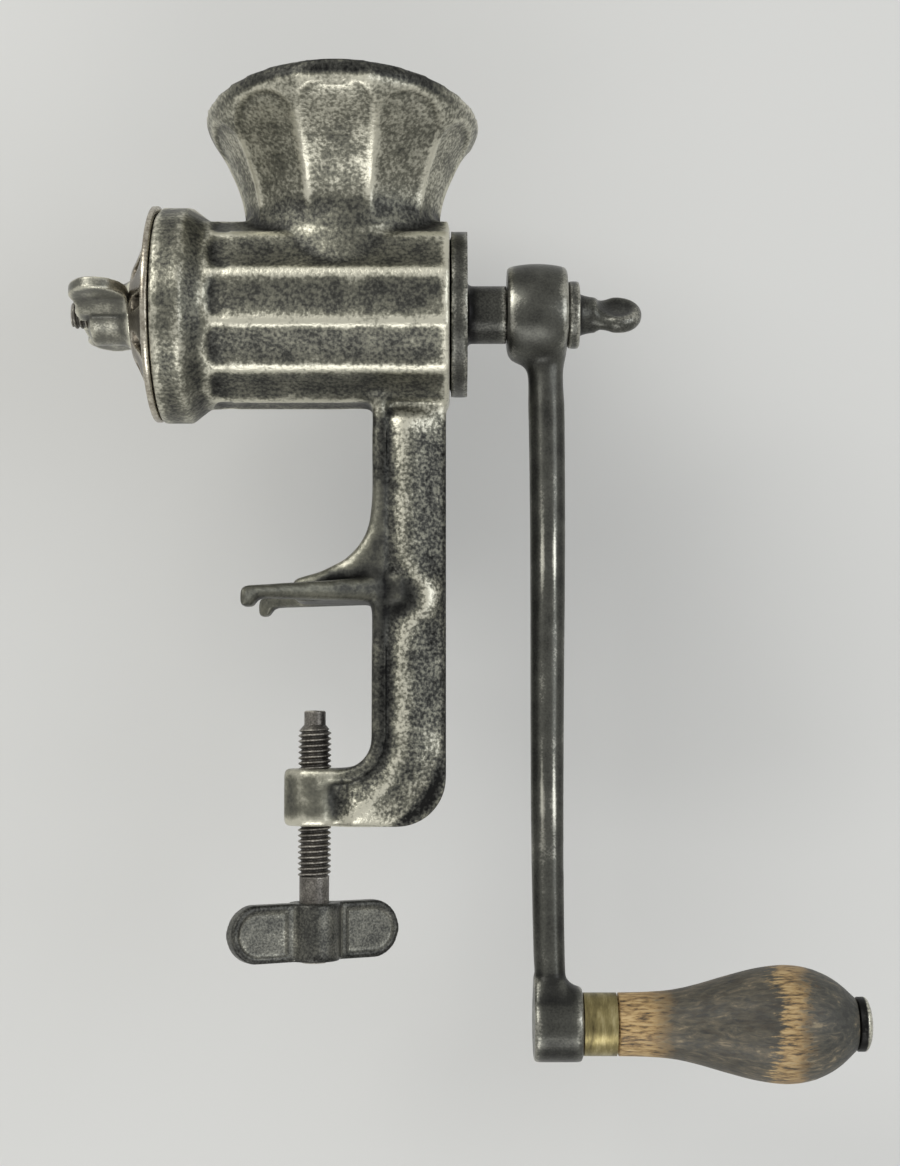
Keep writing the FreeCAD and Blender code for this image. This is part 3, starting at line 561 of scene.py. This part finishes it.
body = softCopy("body_casting", "grinder_casting", casting["voxelMm"], casting["rounds"])
swellColumn(body)
softenJaw(body)
roundFlutes(body)
fluteHopper(body)
bodyPoints = readPoints(body.data)
clampWearAndShade, bodyPits = clampRubAndShade(bodyPoints)
wearAndShadingMap(body, casting["wearGain"], casting["wearBlur"],
        hopperRub(bodyPoints) + barrelRub(bodyPoints) + clampWearAndShade, bodyPits)
dress(body, "frame", tinnedIron, "body_casting")
print("casting done", len(body.data.polygons))

# softened copies of the forged and turned pieces, each with what is worked on it

plate = {"turnDeg": 30, "reachMm": 26.4, "sinkMm": 0.55, "rimMm": (1.4, 2.4), "fromHubMm": (9.0, 10.2),
         "facing": (0.6, 0.9)}


def sinkWings(piece):
    # each wing of the clamp's thumb plate has a raised rim: its face is sunk inside a line near the edge
    low, high = spanMm("clamp_plate", "z")
    points = readPoints(piece.data)
    cosine, sine = (way(math.radians(plate["turnDeg"])) for way in (math.cos, math.sin))
    along = np.abs(points[:, 0] * cosine + points[:, 1] * sine)
    half = (high - low) / 2
    level = points[:, 2] - (high + low) / 2
    fromEnd = plate["reachMm"] - half - along
    inset = half - np.where(fromEnd > 0, np.abs(level), np.hypot(fromEnd, level))
    normals = readNormals(piece.data)
    facing = np.abs(normals[:, 1] * cosine - normals[:, 0] * sine)
    sink = (plate["sinkMm"] * smoothStep(*plate["rimMm"], inset) * smoothStep(*plate["fromHubMm"], along)
            * smoothStep(*plate["facing"], facing))
    writePoints(piece.data, points - normals * sink[:, None])


wings = {"turnDeg": 8, "tipMm": (9, 16), "thin": 0.42, "liftMm": 1.2, "drawMm": 1.8, "drawNoseMm": (12, 0),
         "rootMm": (17, 11), "rootDrawMm": 2.7, "rootNoseMm": (9, 1)}


def trimWings(piece):
    # the wing nut's wings thin and lift towards their tips, and its nose draws back from the end of the stud
    points = readPoints(piece.data)
    cosine, sine = (way(math.radians(wings["turnDeg"])) for way in (math.cos, math.sin))
    height = points[:, 2] - axisZ
    along = points[:, 1] * cosine - height * sine
    level = points[:, 1] * sine + height * cosine
    tip = smoothStep(*wings["tipMm"], np.abs(along))
    thin = level * (1 - wings["thin"] * tip) - np.sign(along) * wings["liftMm"] * tip
    nose = spanMm("cutter_nut", "x")[0]
    points[:, 0] += wings["drawMm"] * tip * smoothStep(*wings["drawNoseMm"], points[:, 0] - nose)
    root = smoothStep(*wings["rootMm"], np.abs(along))
    points[:, 0] += wings["rootDrawMm"] * root * smoothStep(*wings["rootNoseMm"], points[:, 0] - nose)
    points[:, 1] = along * cosine + thin * sine
    points[:, 2] = axisZ - along * sine + thin * cosine
    writePoints(piece.data, points)


cutter = {"rimMm": 31.4, "bossMm": 14.0, "crownMm": 5.8, "rimDepthMm": 2.0, "dish": 1.7}


def dishCutter(piece):
    # the cutter's face is dished: it rises as a power of the way in from its rim to its boss
    points = readPoints(piece.data)
    rear = spanMm("cutter_disc", "x")[1]
    radius = np.hypot(points[:, 1], points[:, 2] - axisZ)
    inward = np.clip((cutter["rimMm"] - radius) / (cutter["rimMm"] - cutter["bossMm"]), 0, 1)
    fromRear = (rear - points[:, 0]) / (cutter["rimDepthMm"] + cutter["crownMm"] * inward)
    points[:, 0] += cutter["crownMm"] * (inward - inward ** cutter["dish"]) * np.clip(fromRear, 0, 1)
    writePoints(piece.data, points)


hub = {"middleX": 64.3, "halfMm": 8.7, "crown": 0.075, "inMm": (8, 11), "outMm": (16.7, 14.7),
       "foot": [("z", 82, 76), ("z", 60, 68)], "footOutMm": (5, 8), "footRounds": 70}


def crownHub(piece):
    # the crank's hub is crowned, its radius falling with the square of the distance from its middle,
    # and its foot is blended into the arm
    points = readPoints(piece.data)
    height = points[:, 2] - axisZ
    radius = np.hypot(points[:, 1], height)
    along = (points[:, 0] - hub["middleX"]) / hub["halfMm"]
    onHub = smoothStep(*hub["inMm"], radius) * smoothStep(*hub["outMm"], radius)
    crown = 1 - hub["crown"] * along ** 2 * onHub
    points[:, 1] *= crown
    points[:, 2] = axisZ + height * crown
    foot = zoneShare(points, hub["foot"]) * smoothStep(*hub["footOutMm"], radius)
    writePoints(piece.data, relax(points, neighbours(piece.data), foot, hub["footRounds"]))


eye = {"radiusMm": 10.5, "armEdgeX": 71.0, "edgeX": 76.7, "liftMm": 3.2,
       "lowMm": (-3.5, -0.5), "highMm": (9.0, 0)}


def filletEye(piece):
    # the crank's eye rises in a fillet to the edge of the arm, as the square of the way in from its own edge
    points = readPoints(piece.data)
    overTop = points[:, 2] - handleZ - eye["radiusMm"]
    out = np.clip((points[:, 0] - eye["armEdgeX"]) / (eye["edgeX"] - eye["armEdgeX"]), 0, 1)
    near = smoothStep(*eye["lowMm"], overTop) * smoothStep(*eye["highMm"], overTop)
    points[:, 2] += eye["liftMm"] * (1 - out) ** 2 * near
    writePoints(piece.data, points)


# the bright lines on the arm's facet edges are partly wear and partly painted highlights
arm = {"middleX": 67.1, "sway": [(-111, 0.6), (-44, -0.2), (23, 0.2), (81, -0.4)], "edgeMm": 1.7,
       "edgeWidthMm": 0.4, "places": [(16, 9, 1.0), (-53, 11, 0.8)],  # height, reach and strength
       "rub": -0.08, "edgeRubAndHighlight": 0.4, "topRub": 0.07, "topZ": (64, 74)}


def armRubsAndHighlights(points):
    # the edges of the arm's front and back facets are drawn as bright lines in two places: partly wear,
    # partly painted highlight
    x, z = points[:, 0], points[:, 2]
    middle = arm["middleX"] + np.interp(z, *np.array(arm["sway"]).T)
    edge = bell(np.abs(x - middle), arm["edgeMm"], arm["edgeWidthMm"])
    places = sum(strength * bell(z, height, reach) for height, reach, strength in arm["places"])
    return arm["rub"] + arm["topRub"] * smoothStep(*arm["topZ"], z) + arm["edgeRubAndHighlight"] * edge * places


neck = {"zone": [("x", 79, 80.5), ("x", 86.5, 84.5)], "rounds": 30,
        "middleX": 82.2, "reachMm": 1.7, "swell": 0.17}


def fillNeck(piece):
    # the thumb screw's cone runs on into its blade without a notch: relaxed, then swelled by a bell along X
    points = readPoints(piece.data)
    points = relax(points, neighbours(piece.data), zoneShare(points, neck["zone"]), neck["rounds"])
    swell = 1 + neck["swell"] * bell(points[:, 0], neck["middleX"], neck["reachMm"])
    points[:, 1] *= swell
    points[:, 2] = axisZ + (points[:, 2] - axisZ) * swell
    writePoints(piece.data, points)


# what a piece has unless it says otherwise
usual = {"over": 8, "gain": 1.6, "blur": 8, "pits": 1.0, "shapers": []}
softPieces = [
    {"node": "feed_screw", "name": "feed_auger", "body": "rotor", "iron": forgedIron, "slot": "worn_casting",
     "voxelMm": 0.7, "rounds": 5, "over": 0, "back": -0.18, "rub": -0.1},
    {"node": "cutter_disc", "name": "face_cutter", "body": "rotor", "iron": cutterSteel,
     "slot": "cutter_steel", "voxelMm": 0.5, "rounds": 4, "over": 2, "back": 0.0, "rub": 0.0,
     "shapers": [dishCutter]},
    {"node": "cutter_nut", "name": "wing_nut", "body": "nut", "iron": plateIron, "slot": "worn_casting",
     "voxelMm": 0.4, "rounds": 8, "back": 0.1, "rub": 0.15, "pits": 0.4, "shapers": [trimWings]},
    {"node": "crank_arm", "name": "forged_crank", "body": "rotor", "iron": forgedIron, "slot": "forged_iron",
     "voxelMm": 0.6, "rounds": 6, "back": 0.15, "rub": armRubsAndHighlights, "pits": 0.6,
     "shapers": [crownHub, filletEye]},
    {"node": "crank_thumb_screw", "name": "spade_screw", "body": "thumb", "iron": forgedIron,
     "slot": "forged_iron", "voxelMm": 0.4, "rounds": 5, "back": 0.1, "rub": -0.02, "shapers": [fillNeck]},
    {"node": "clamp_plate", "name": "clamp_thumb_plate", "body": "clamp_head", "iron": plateIron,
     "slot": "worn_casting", "voxelMm": 0.45, "rounds": 6, "back": 0.15, "rub": 0.04, "gain": -0.8,
     "shapers": [sinkWings]},
]
for given in softPieces:
    spec = {**usual, **given}
    piece = softCopy(spec["node"], spec["name"], spec["voxelMm"], spec["rounds"], spec["over"], spec["back"])
    for shaper in spec["shapers"]:
        shaper(piece)
    rub = spec["rub"](readPoints(piece.data)) if callable(spec["rub"]) else spec["rub"]
    wearAndShadingMap(piece, spec["gain"], spec["blur"], rub, spec["pits"])
    dress(piece, spec["body"], spec["iron"], spec["node"])
print("forgings done")

# clamp screw and cutter stud

threadWear = {"gain": 2.5, "blurRounds": 3}


def threadWave(turns):  # rounded V: 0 at the root, 1 at the crest, eased into both
    return smoothStep(0.08, 0.92, np.abs(panelSide(turns)))


def threadedRod(name, spec, outline, threadSpan, place):
    # radius is the lesser of the turned outline, (station, radius), and a right-hand V thread that climbs
    # one pitch a turn within its span; place sets the station and the two offsets on the axis
    station = np.arange(outline[0][0], outline[-1][0] + 1e-6, spec["stepMm"])
    turned = np.interp(station, *np.array(outline).T)[:, None]
    angle = np.linspace(0, 2 * math.pi, spec["segments"], endpoint=False)
    along, phi = np.meshgrid(station, angle, indexing="ij")
    wave = threadWave(along / spec["pitchMm"] - phi / (2 * math.pi))
    cut = spec["rootMm"] + (spec["crestMm"] - spec["rootMm"]) * wave
    inThread = (along > threadSpan[0]) & (along < threadSpan[1])
    radius = np.where(inThread, np.minimum(turned, cut), turned)
    radius[0] = radius[-1] = 0
    points = np.stack(place(along, radius * np.cos(phi), radius * np.sin(phi)), -1)
    rod = putMesh(name, points.reshape(-1, 3), gridFaces(*along.shape, False))
    wearAndShadingMap(rod, **threadWear)
    return rod


clampScrew = {"pitchMm": 1.5875, "crestMm": 4.76, "rootMm": 3.85, "stepMm": 0.12, "segments": 56,
              "threadTopZ": -34.4, "threadEndZ": -76.0, "runoutMm": 0.6, "overrunMm": 1.2,
              "shankMm": 4.28, "footMm": 3.4, "footChamferMm": 0.8,
              "dogZ": -32.5, "dogMm": 3.1, "dogTipMm": 2.6, "dogChamferMm": 0.5}


def clampRod():
    # plain shank up to the thread's runout, then the thread, a cone and the dog point
    spec = clampScrew
    low, high = spanMm("clamp_screw", "z")
    end, top = spec["threadEndZ"], spec["threadTopZ"]
    outline = [(low, spec["footMm"]), (low + spec["footChamferMm"], spec["shankMm"]), (end, spec["shankMm"]),
               (end + spec["runoutMm"], spec["crestMm"]), (top, spec["crestMm"]),
               (spec["dogZ"], spec["dogMm"]), (high - spec["dogChamferMm"], spec["dogMm"]),
               (high, spec["dogTipMm"])]
    return threadedRod("clamp_rod_threaded", spec, outline, (end, top + spec["overrunMm"]),
                       lambda along, one, two: (one, two, along))


stud = {"pitchMm": 1.5875, "crestMm": 4.0, "rootMm": 3.3, "stepMm": 0.12, "segments": 48, "chamferMm": 0.8}


def studRod():
    # threaded from end to end, with a chamfered nose
    low, high = spanMm("cutter_stud", "x")
    outline = [(low, stud["rootMm"]), (low + stud["chamferMm"], stud["crestMm"]), (high, stud["crestMm"])]
    return threadedRod("threaded_stud", stud, outline, (-math.inf, math.inf),
                       lambda along, one, two: (along, one, axisZ + two))


dress(clampRod(), "clamp_rod", threadSteel, "clamp_screw")
dress(studRod(), "rotor", threadSteel, "cutter_stud")
print("threads done")

# handle: wooden grip, brass ferrule and domed bolt

grip = {"boreMm": 3.75, "boreSteps": 40, "tenonMm": 7.9, "segments": 160, "stepMm": 0.6, "crowding": 1.4,
        "grooveMm": 0.6, "outline": [  # share of length, radius
            (0.0, 8.9), (0.1, 9.0), (0.2, 9.4), (0.27, 10.15), (0.35, 11.5), (0.42, 12.9), (0.5, 14.4),
            (0.57, 15.6), (0.645, 16.4), (0.704, 16.7), (0.764, 16.4), (0.824, 15.45), (0.884, 13.7),
            (0.928, 11.8), (0.958, 10.1), (0.981, 8.6), (1.0, 7.4)]}


def turnedGrip():
    # tenon, shoulder, turned belly and a bore through it: a closed outline swept round the axis,
    # its stations closer together towards the butt
    low, high = spanMm("handle_grip", "x")
    tenon = spanMm("handle_ferrule", "x")[1]
    station = 1 - np.linspace(1, 0, int((high - tenon) / grip["stepMm"])) ** grip["crowding"]
    fine = np.interp(station, *np.array(grip["outline"]).T)
    for _ in range(2):  # two passes of a short running mean take the corners off the outline
        fine[2:-2] = np.convolve(fine, np.ones(5) / 5, "valid")
    shoulder = tenon + grip["grooveMm"]
    wood = np.stack([shoulder + station * (high - shoulder), fine], -1)
    start = np.array([(low, grip["boreMm"]), (low, grip["tenonMm"]), (shoulder, grip["tenonMm"])])
    end = np.array([(high, grip["boreMm"])])
    boreX = np.linspace(high, low, grip["boreSteps"])[1:-1]
    bore = np.stack([boreX, np.full(len(boreX), grip["boreMm"])], -1)
    return turnedX("turned_grip", np.concatenate([start, wood, end, bore]), handleZ, grip["segments"], True)


beech = {"stretch": (0.2, 1.0, 1.0),
         # noises: size in mm, detail, roughness, distortion
         "grain": (0.8, 4.0, 0.6, 0.0), "mottle": (1.6, 5.0, 0.68, 0.6),
         "pores": (0.55, 2.0, 0.5, 0.0), "broad": (9.0, 3.0, 0.6, 0.0),
         "driftMm": 12, "raggedMm": 16, "wornSpanMm": (100, 170), "cloudiness": 0.6,
         "bare": [(0.0, 1), (1.0, 0), (0.13, 0.95), (0.24, 0.06), (0.62, 0.06),  # share of the span, how bare
                  (0.66, 0.85), (0.73, 0.85), (0.79, 0.02)],
         "stain": [(0.64, "#2a2a27"), (1.0, "#7d725c"), (0.8, "#3e3e38"), (0.93, "#585246")],
         "tan": [(0.34, "#3f321f"), (0.7, "#c2a87b"), (0.46, "#8a6f47"), (0.54, "#a98d5e")],
         "bump": 0.25, "bumpMm": 0.4, "rough": (0.42, 0.68)}


def wornBeech():
    # turned hardwood under old dark stain, rubbed back to bare wood at the neck and the belly;
    # its pores are drawn coarser than real ones, which would be too fine to show
    material, tree = newMaterial("worn_stained_beech")
    place = addNode(tree, "ShaderNodeTexCoord", {}, {}).outputs["Object"]
    along = addNode(tree, "ShaderNodeMapping", {}, {"Vector": place, "Scale": beech["stretch"]}).outputs[0]
    grain, mottle, pores, broad = (addNode(tree, "ShaderNodeTexNoise", {}, {
        "Vector": vector, "Scale": 1 / (sizeMm * mm), "Detail": detail, "Roughness": roughness,
        "Distortion": distortion}).outputs["Fac"] for vector, (sizeMm, detail, roughness, distortion) in (
            (along, beech["grain"]), (along, beech["mottle"]),
            (along, beech["pores"]), (place, beech["broad"])))
    x = addNode(tree, "ShaderNodeSeparateXYZ", {}, {"Vector": place}).outputs["X"]
    drift = addNode(tree, "ShaderNodeMath", {"operation": "MULTIPLY_ADD"}, {
        0: broad, 1: beech["driftMm"] * mm, 2: x})
    ragged = addNode(tree, "ShaderNodeMath", {"operation": "MULTIPLY_ADD"}, {
        0: grain, 1: beech["raggedMm"] * mm, 2: drift.outputs[0]})
    start, end = beech["wornSpanMm"]
    span = addNode(tree, "ShaderNodeMapRange", {}, {
        "Value": ragged.outputs[0], "From Min": start * mm, "From Max": end * mm})
    bare = addNode(tree, "ShaderNodeValToRGB", {}, {"Fac": span.outputs["Result"]}, [
        (share, (level, level, level, 1.0)) for share, level in beech["bare"]])
    aged = addNode(tree, "ShaderNodeMath", {"operation": "MULTIPLY_ADD"}, {
        0: broad, 1: beech["cloudiness"], 2: mottle})
    stain = addNode(tree, "ShaderNodeValToRGB", {}, {"Fac": aged.outputs[0]}, hexStops(beech["stain"]))
    tan = addNode(tree, "ShaderNodeValToRGB", {}, {"Fac": grain}, hexStops(beech["tan"]))
    mix = addNode(tree, "ShaderNodeMix", {"data_type": "RGBA"}, {
        0: bare.outputs["Color"], 6: stain.outputs["Color"], 7: tan.outputs["Color"]})
    rough = addNode(tree, "ShaderNodeMapRange", {}, {
        "Value": grain, "To Min": beech["rough"][0], "To Max": beech["rough"][1]})
    bump = addNode(tree, "ShaderNodeBump", {}, {
        "Strength": beech["bump"], "Distance": beech["bumpMm"] * mm, "Height": pores})
    finishMaterial(tree, {"Base Color": mix.outputs[2], "Roughness": rough.outputs["Result"],
                          "Normal": bump.outputs["Normal"]})
    return material


ferrule = {"innerMm": 7.95, "edgeMm": 8.75, "outerMm": 8.9, "roundMm": 0.35, "segments": 128}


def bandedFerrule():
    # thin band with rounded edges, swept round the grip's axis
    low, high = spanMm("handle_ferrule", "x")
    inner, edge, outer = ferrule["innerMm"], ferrule["edgeMm"], ferrule["outerMm"]
    corners = [(low, inner), (low, edge), (low, outer), (high, outer), (high, edge), (high, inner)]
    outline = roundCorners(corners, ferrule["roundMm"])
    return turnedX("brass_ferrule", outline, handleZ, ferrule["segments"], True)


brass = {"stretch": (1.0, 0.25, 0.25), "rubMm": 3.0, "detail": 6.0, "roughness": 0.7, "metallic": 0.9,
         "colours": [(0.3, "#4d452e"), (0.75, "#c0b48a"), (0.52, "#8a7f57")], "rough": (0.5, 0.25),
         "bump": 0.1, "bumpMm": 0.3}


def agedBrass():
    # spun brass band, gone brown in the skin with brighter rubs
    material, tree = newMaterial("aged_brass")
    place = addNode(tree, "ShaderNodeTexCoord", {}, {}).outputs["Object"]
    spun = addNode(tree, "ShaderNodeMapping", {}, {"Vector": place, "Scale": brass["stretch"]})
    rub = addNode(tree, "ShaderNodeTexNoise", {}, {
        "Vector": spun.outputs[0], "Scale": 1 / (brass["rubMm"] * mm), "Detail": brass["detail"],
        "Roughness": brass["roughness"]}).outputs["Fac"]
    colour = addNode(tree, "ShaderNodeValToRGB", {}, {"Fac": rub}, hexStops(brass["colours"]))
    rough = addNode(tree, "ShaderNodeMapRange", {}, {
        "Value": rub, "To Min": brass["rough"][0], "To Max": brass["rough"][1]})
    bump = addNode(tree, "ShaderNodeBump", {}, {
        "Strength": brass["bump"], "Distance": brass["bumpMm"] * mm, "Height": rub})
    finishMaterial(tree, {"Base Color": colour.outputs["Color"], "Metallic": brass["metallic"],
                          "Roughness": rough.outputs["Result"], "Normal": bump.outputs["Normal"]})
    return material


bolt = {"shankMm": 3.6, "headMm": 7.7, "footMm": 7.3, "gapMm": 0.3, "footChamferMm": 0.4, "sideMm": 1.9,
        "domeMm": 2.2, "domeSteps": 24, "segments": 96, "gain": 1.5, "blurRounds": 3,
        "rub": -0.2, "domeRub": 0.4, "domeRubMm": (-2.6, -1.9)}


def domedBolt():
    # plain shank, short straight head, and a quarter ellipse swept round for its dome
    low, high = spanMm("handle_bolt", "x")
    seat = spanMm("handle_grip", "x")[1] + bolt["gapMm"]
    turn = np.linspace(0, math.pi / 2, bolt["domeSteps"])
    start = seat + bolt["domeMm"]
    dome = np.stack([start + (high - start) * np.sin(turn), bolt["headMm"] * np.cos(turn)], -1)
    shank = np.array([(low, 0.0), (low, bolt["shankMm"]), (seat, bolt["shankMm"]), (seat, bolt["footMm"]),
                      (seat + bolt["footChamferMm"], bolt["headMm"]),
                      (seat + bolt["sideMm"], bolt["headMm"])])
    piece = turnedX("domed_bolt", np.concatenate([shank, dome]), handleZ, bolt["segments"])
    onDome = smoothStep(*bolt["domeRubMm"], readPoints(piece.data)[:, 0] - high)
    wearAndShadingMap(piece, bolt["gain"], bolt["blurRounds"], bolt["domeRub"] * onDome + bolt["rub"])
    return piece


dress(turnedGrip(), "grip", wornBeech(), "handle_grip")
dress(bandedFerrule(), "grip", agedBrass(), "handle_ferrule")
dress(domedBolt(), "rotor", plateIron, "handle_bolt")
print("handle done")

# stage, light and camera

board = {"behindMm": 45, "halfMm": 1500, "paint": "#d0d0ce"}


def backdrop():
    # pale board standing just behind the object, seen from the front only
    half = board["halfMm"]
    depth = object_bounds()[1][1] / mm + board["behindMm"]
    corners = [(-half, depth, -half), (half, depth, -half), (half, depth, half), (-half, depth, half)]
    piece = putMesh("backdrop", corners, [(0, 1, 2, 3)])
    material, tree = newMaterial("pale_board")
    back = addNode(tree, "ShaderNodeNewGeometry", {}, {}).outputs["Backfacing"]
    paint = addNode(tree, "ShaderNodeBsdfDiffuse", {}, {"Color": hexColor(board["paint"])})
    clear = addNode(tree, "ShaderNodeBsdfTransparent", {}, {})
    mix = addNode(tree, "ShaderNodeMixShader", {}, {0: back, 1: paint.outputs[0], 2: clear.outputs[0]})
    addNode(tree, "ShaderNodeOutputMaterial", {}, {"Surface": mix.outputs[0]})
    piece.data.materials.append(material)
    piece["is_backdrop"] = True


lamps = [
    {"name": "window", "placeMm": (-600, -800, 700), "aimMm": (20, 0, 30), "sizeMm": 900, "watts": 6.5,
     "colour": "#fffefa"},
    {"name": "fill", "placeMm": (800, -700, 150), "aimMm": (40, 0, -20), "sizeMm": 800, "watts": 3.0,
     "colour": "#f4f8ff"},
    {"name": "low_fill", "placeMm": (0, -500, -700), "aimMm": (30, 0, 0), "sizeMm": 500, "watts": 2.0,
     "colour": "#ffffff"},
]


def areaLight(spec):
    lamp = bpy.data.lights.new(spec["name"], "AREA")
    lamp.shape = "DISK"
    lamp.size = spec["sizeMm"] * mm
    lamp.energy = spec["watts"]
    lamp.color = hexColor(spec["colour"])[:3]
    holder = bpy.data.objects.new(spec["name"], lamp)
    scene.collection.objects.link(holder)
    way = np.array(spec["placeMm"], float) - np.array(spec["aimMm"], float)
    holder.location = np.array(spec["placeMm"]) * mm
    holder.rotation_euler = (math.acos(way[2] / np.linalg.norm(way)), 0, math.atan2(way[0], -way[1]))


backdrop()
for spec in lamps:
    areaLight(spec)

room = {"colour": "#e8e8e6", "strength": 0.7}
world = bpy.data.worlds.new("soft_room")
world.use_nodes = True
world.node_tree.nodes["Background"].inputs["Color"].default_value = hexColor(room["colour"])
world.node_tree.nodes["Background"].inputs["Strength"].default_value = room["strength"]
scene.world = world
scene.view_settings.view_transform = "Standard"

view = {"focalPx": 2000.0, "heightPx": 1166.0, "sensorMm": 36, "distanceMm": 580.0, "tiltDeg": -4.0,
        "aimMm": (38.95, 0.0, 8.5), "nearMm": 10}
lens = bpy.data.cameras.new("camera")
lens.sensor_width = view["sensorMm"]
lens.lens = view["sensorMm"] * view["focalPx"] / view["heightPx"]
lens.clip_start = view["nearMm"] * mm
camera = bpy.data.objects.new("camera", lens)
scene.collection.objects.link(camera)
tilt = math.radians(view["tiltDeg"])
camera.location = [value * mm for value in (
    view["aimMm"][0], -view["distanceMm"] * math.cos(tilt),
    view["aimMm"][2] + view["distanceMm"] * math.sin(tilt))]
camera.rotation_euler = (math.pi / 2 - tilt, 0, 0)
scene.camera = camera
print("stage done")
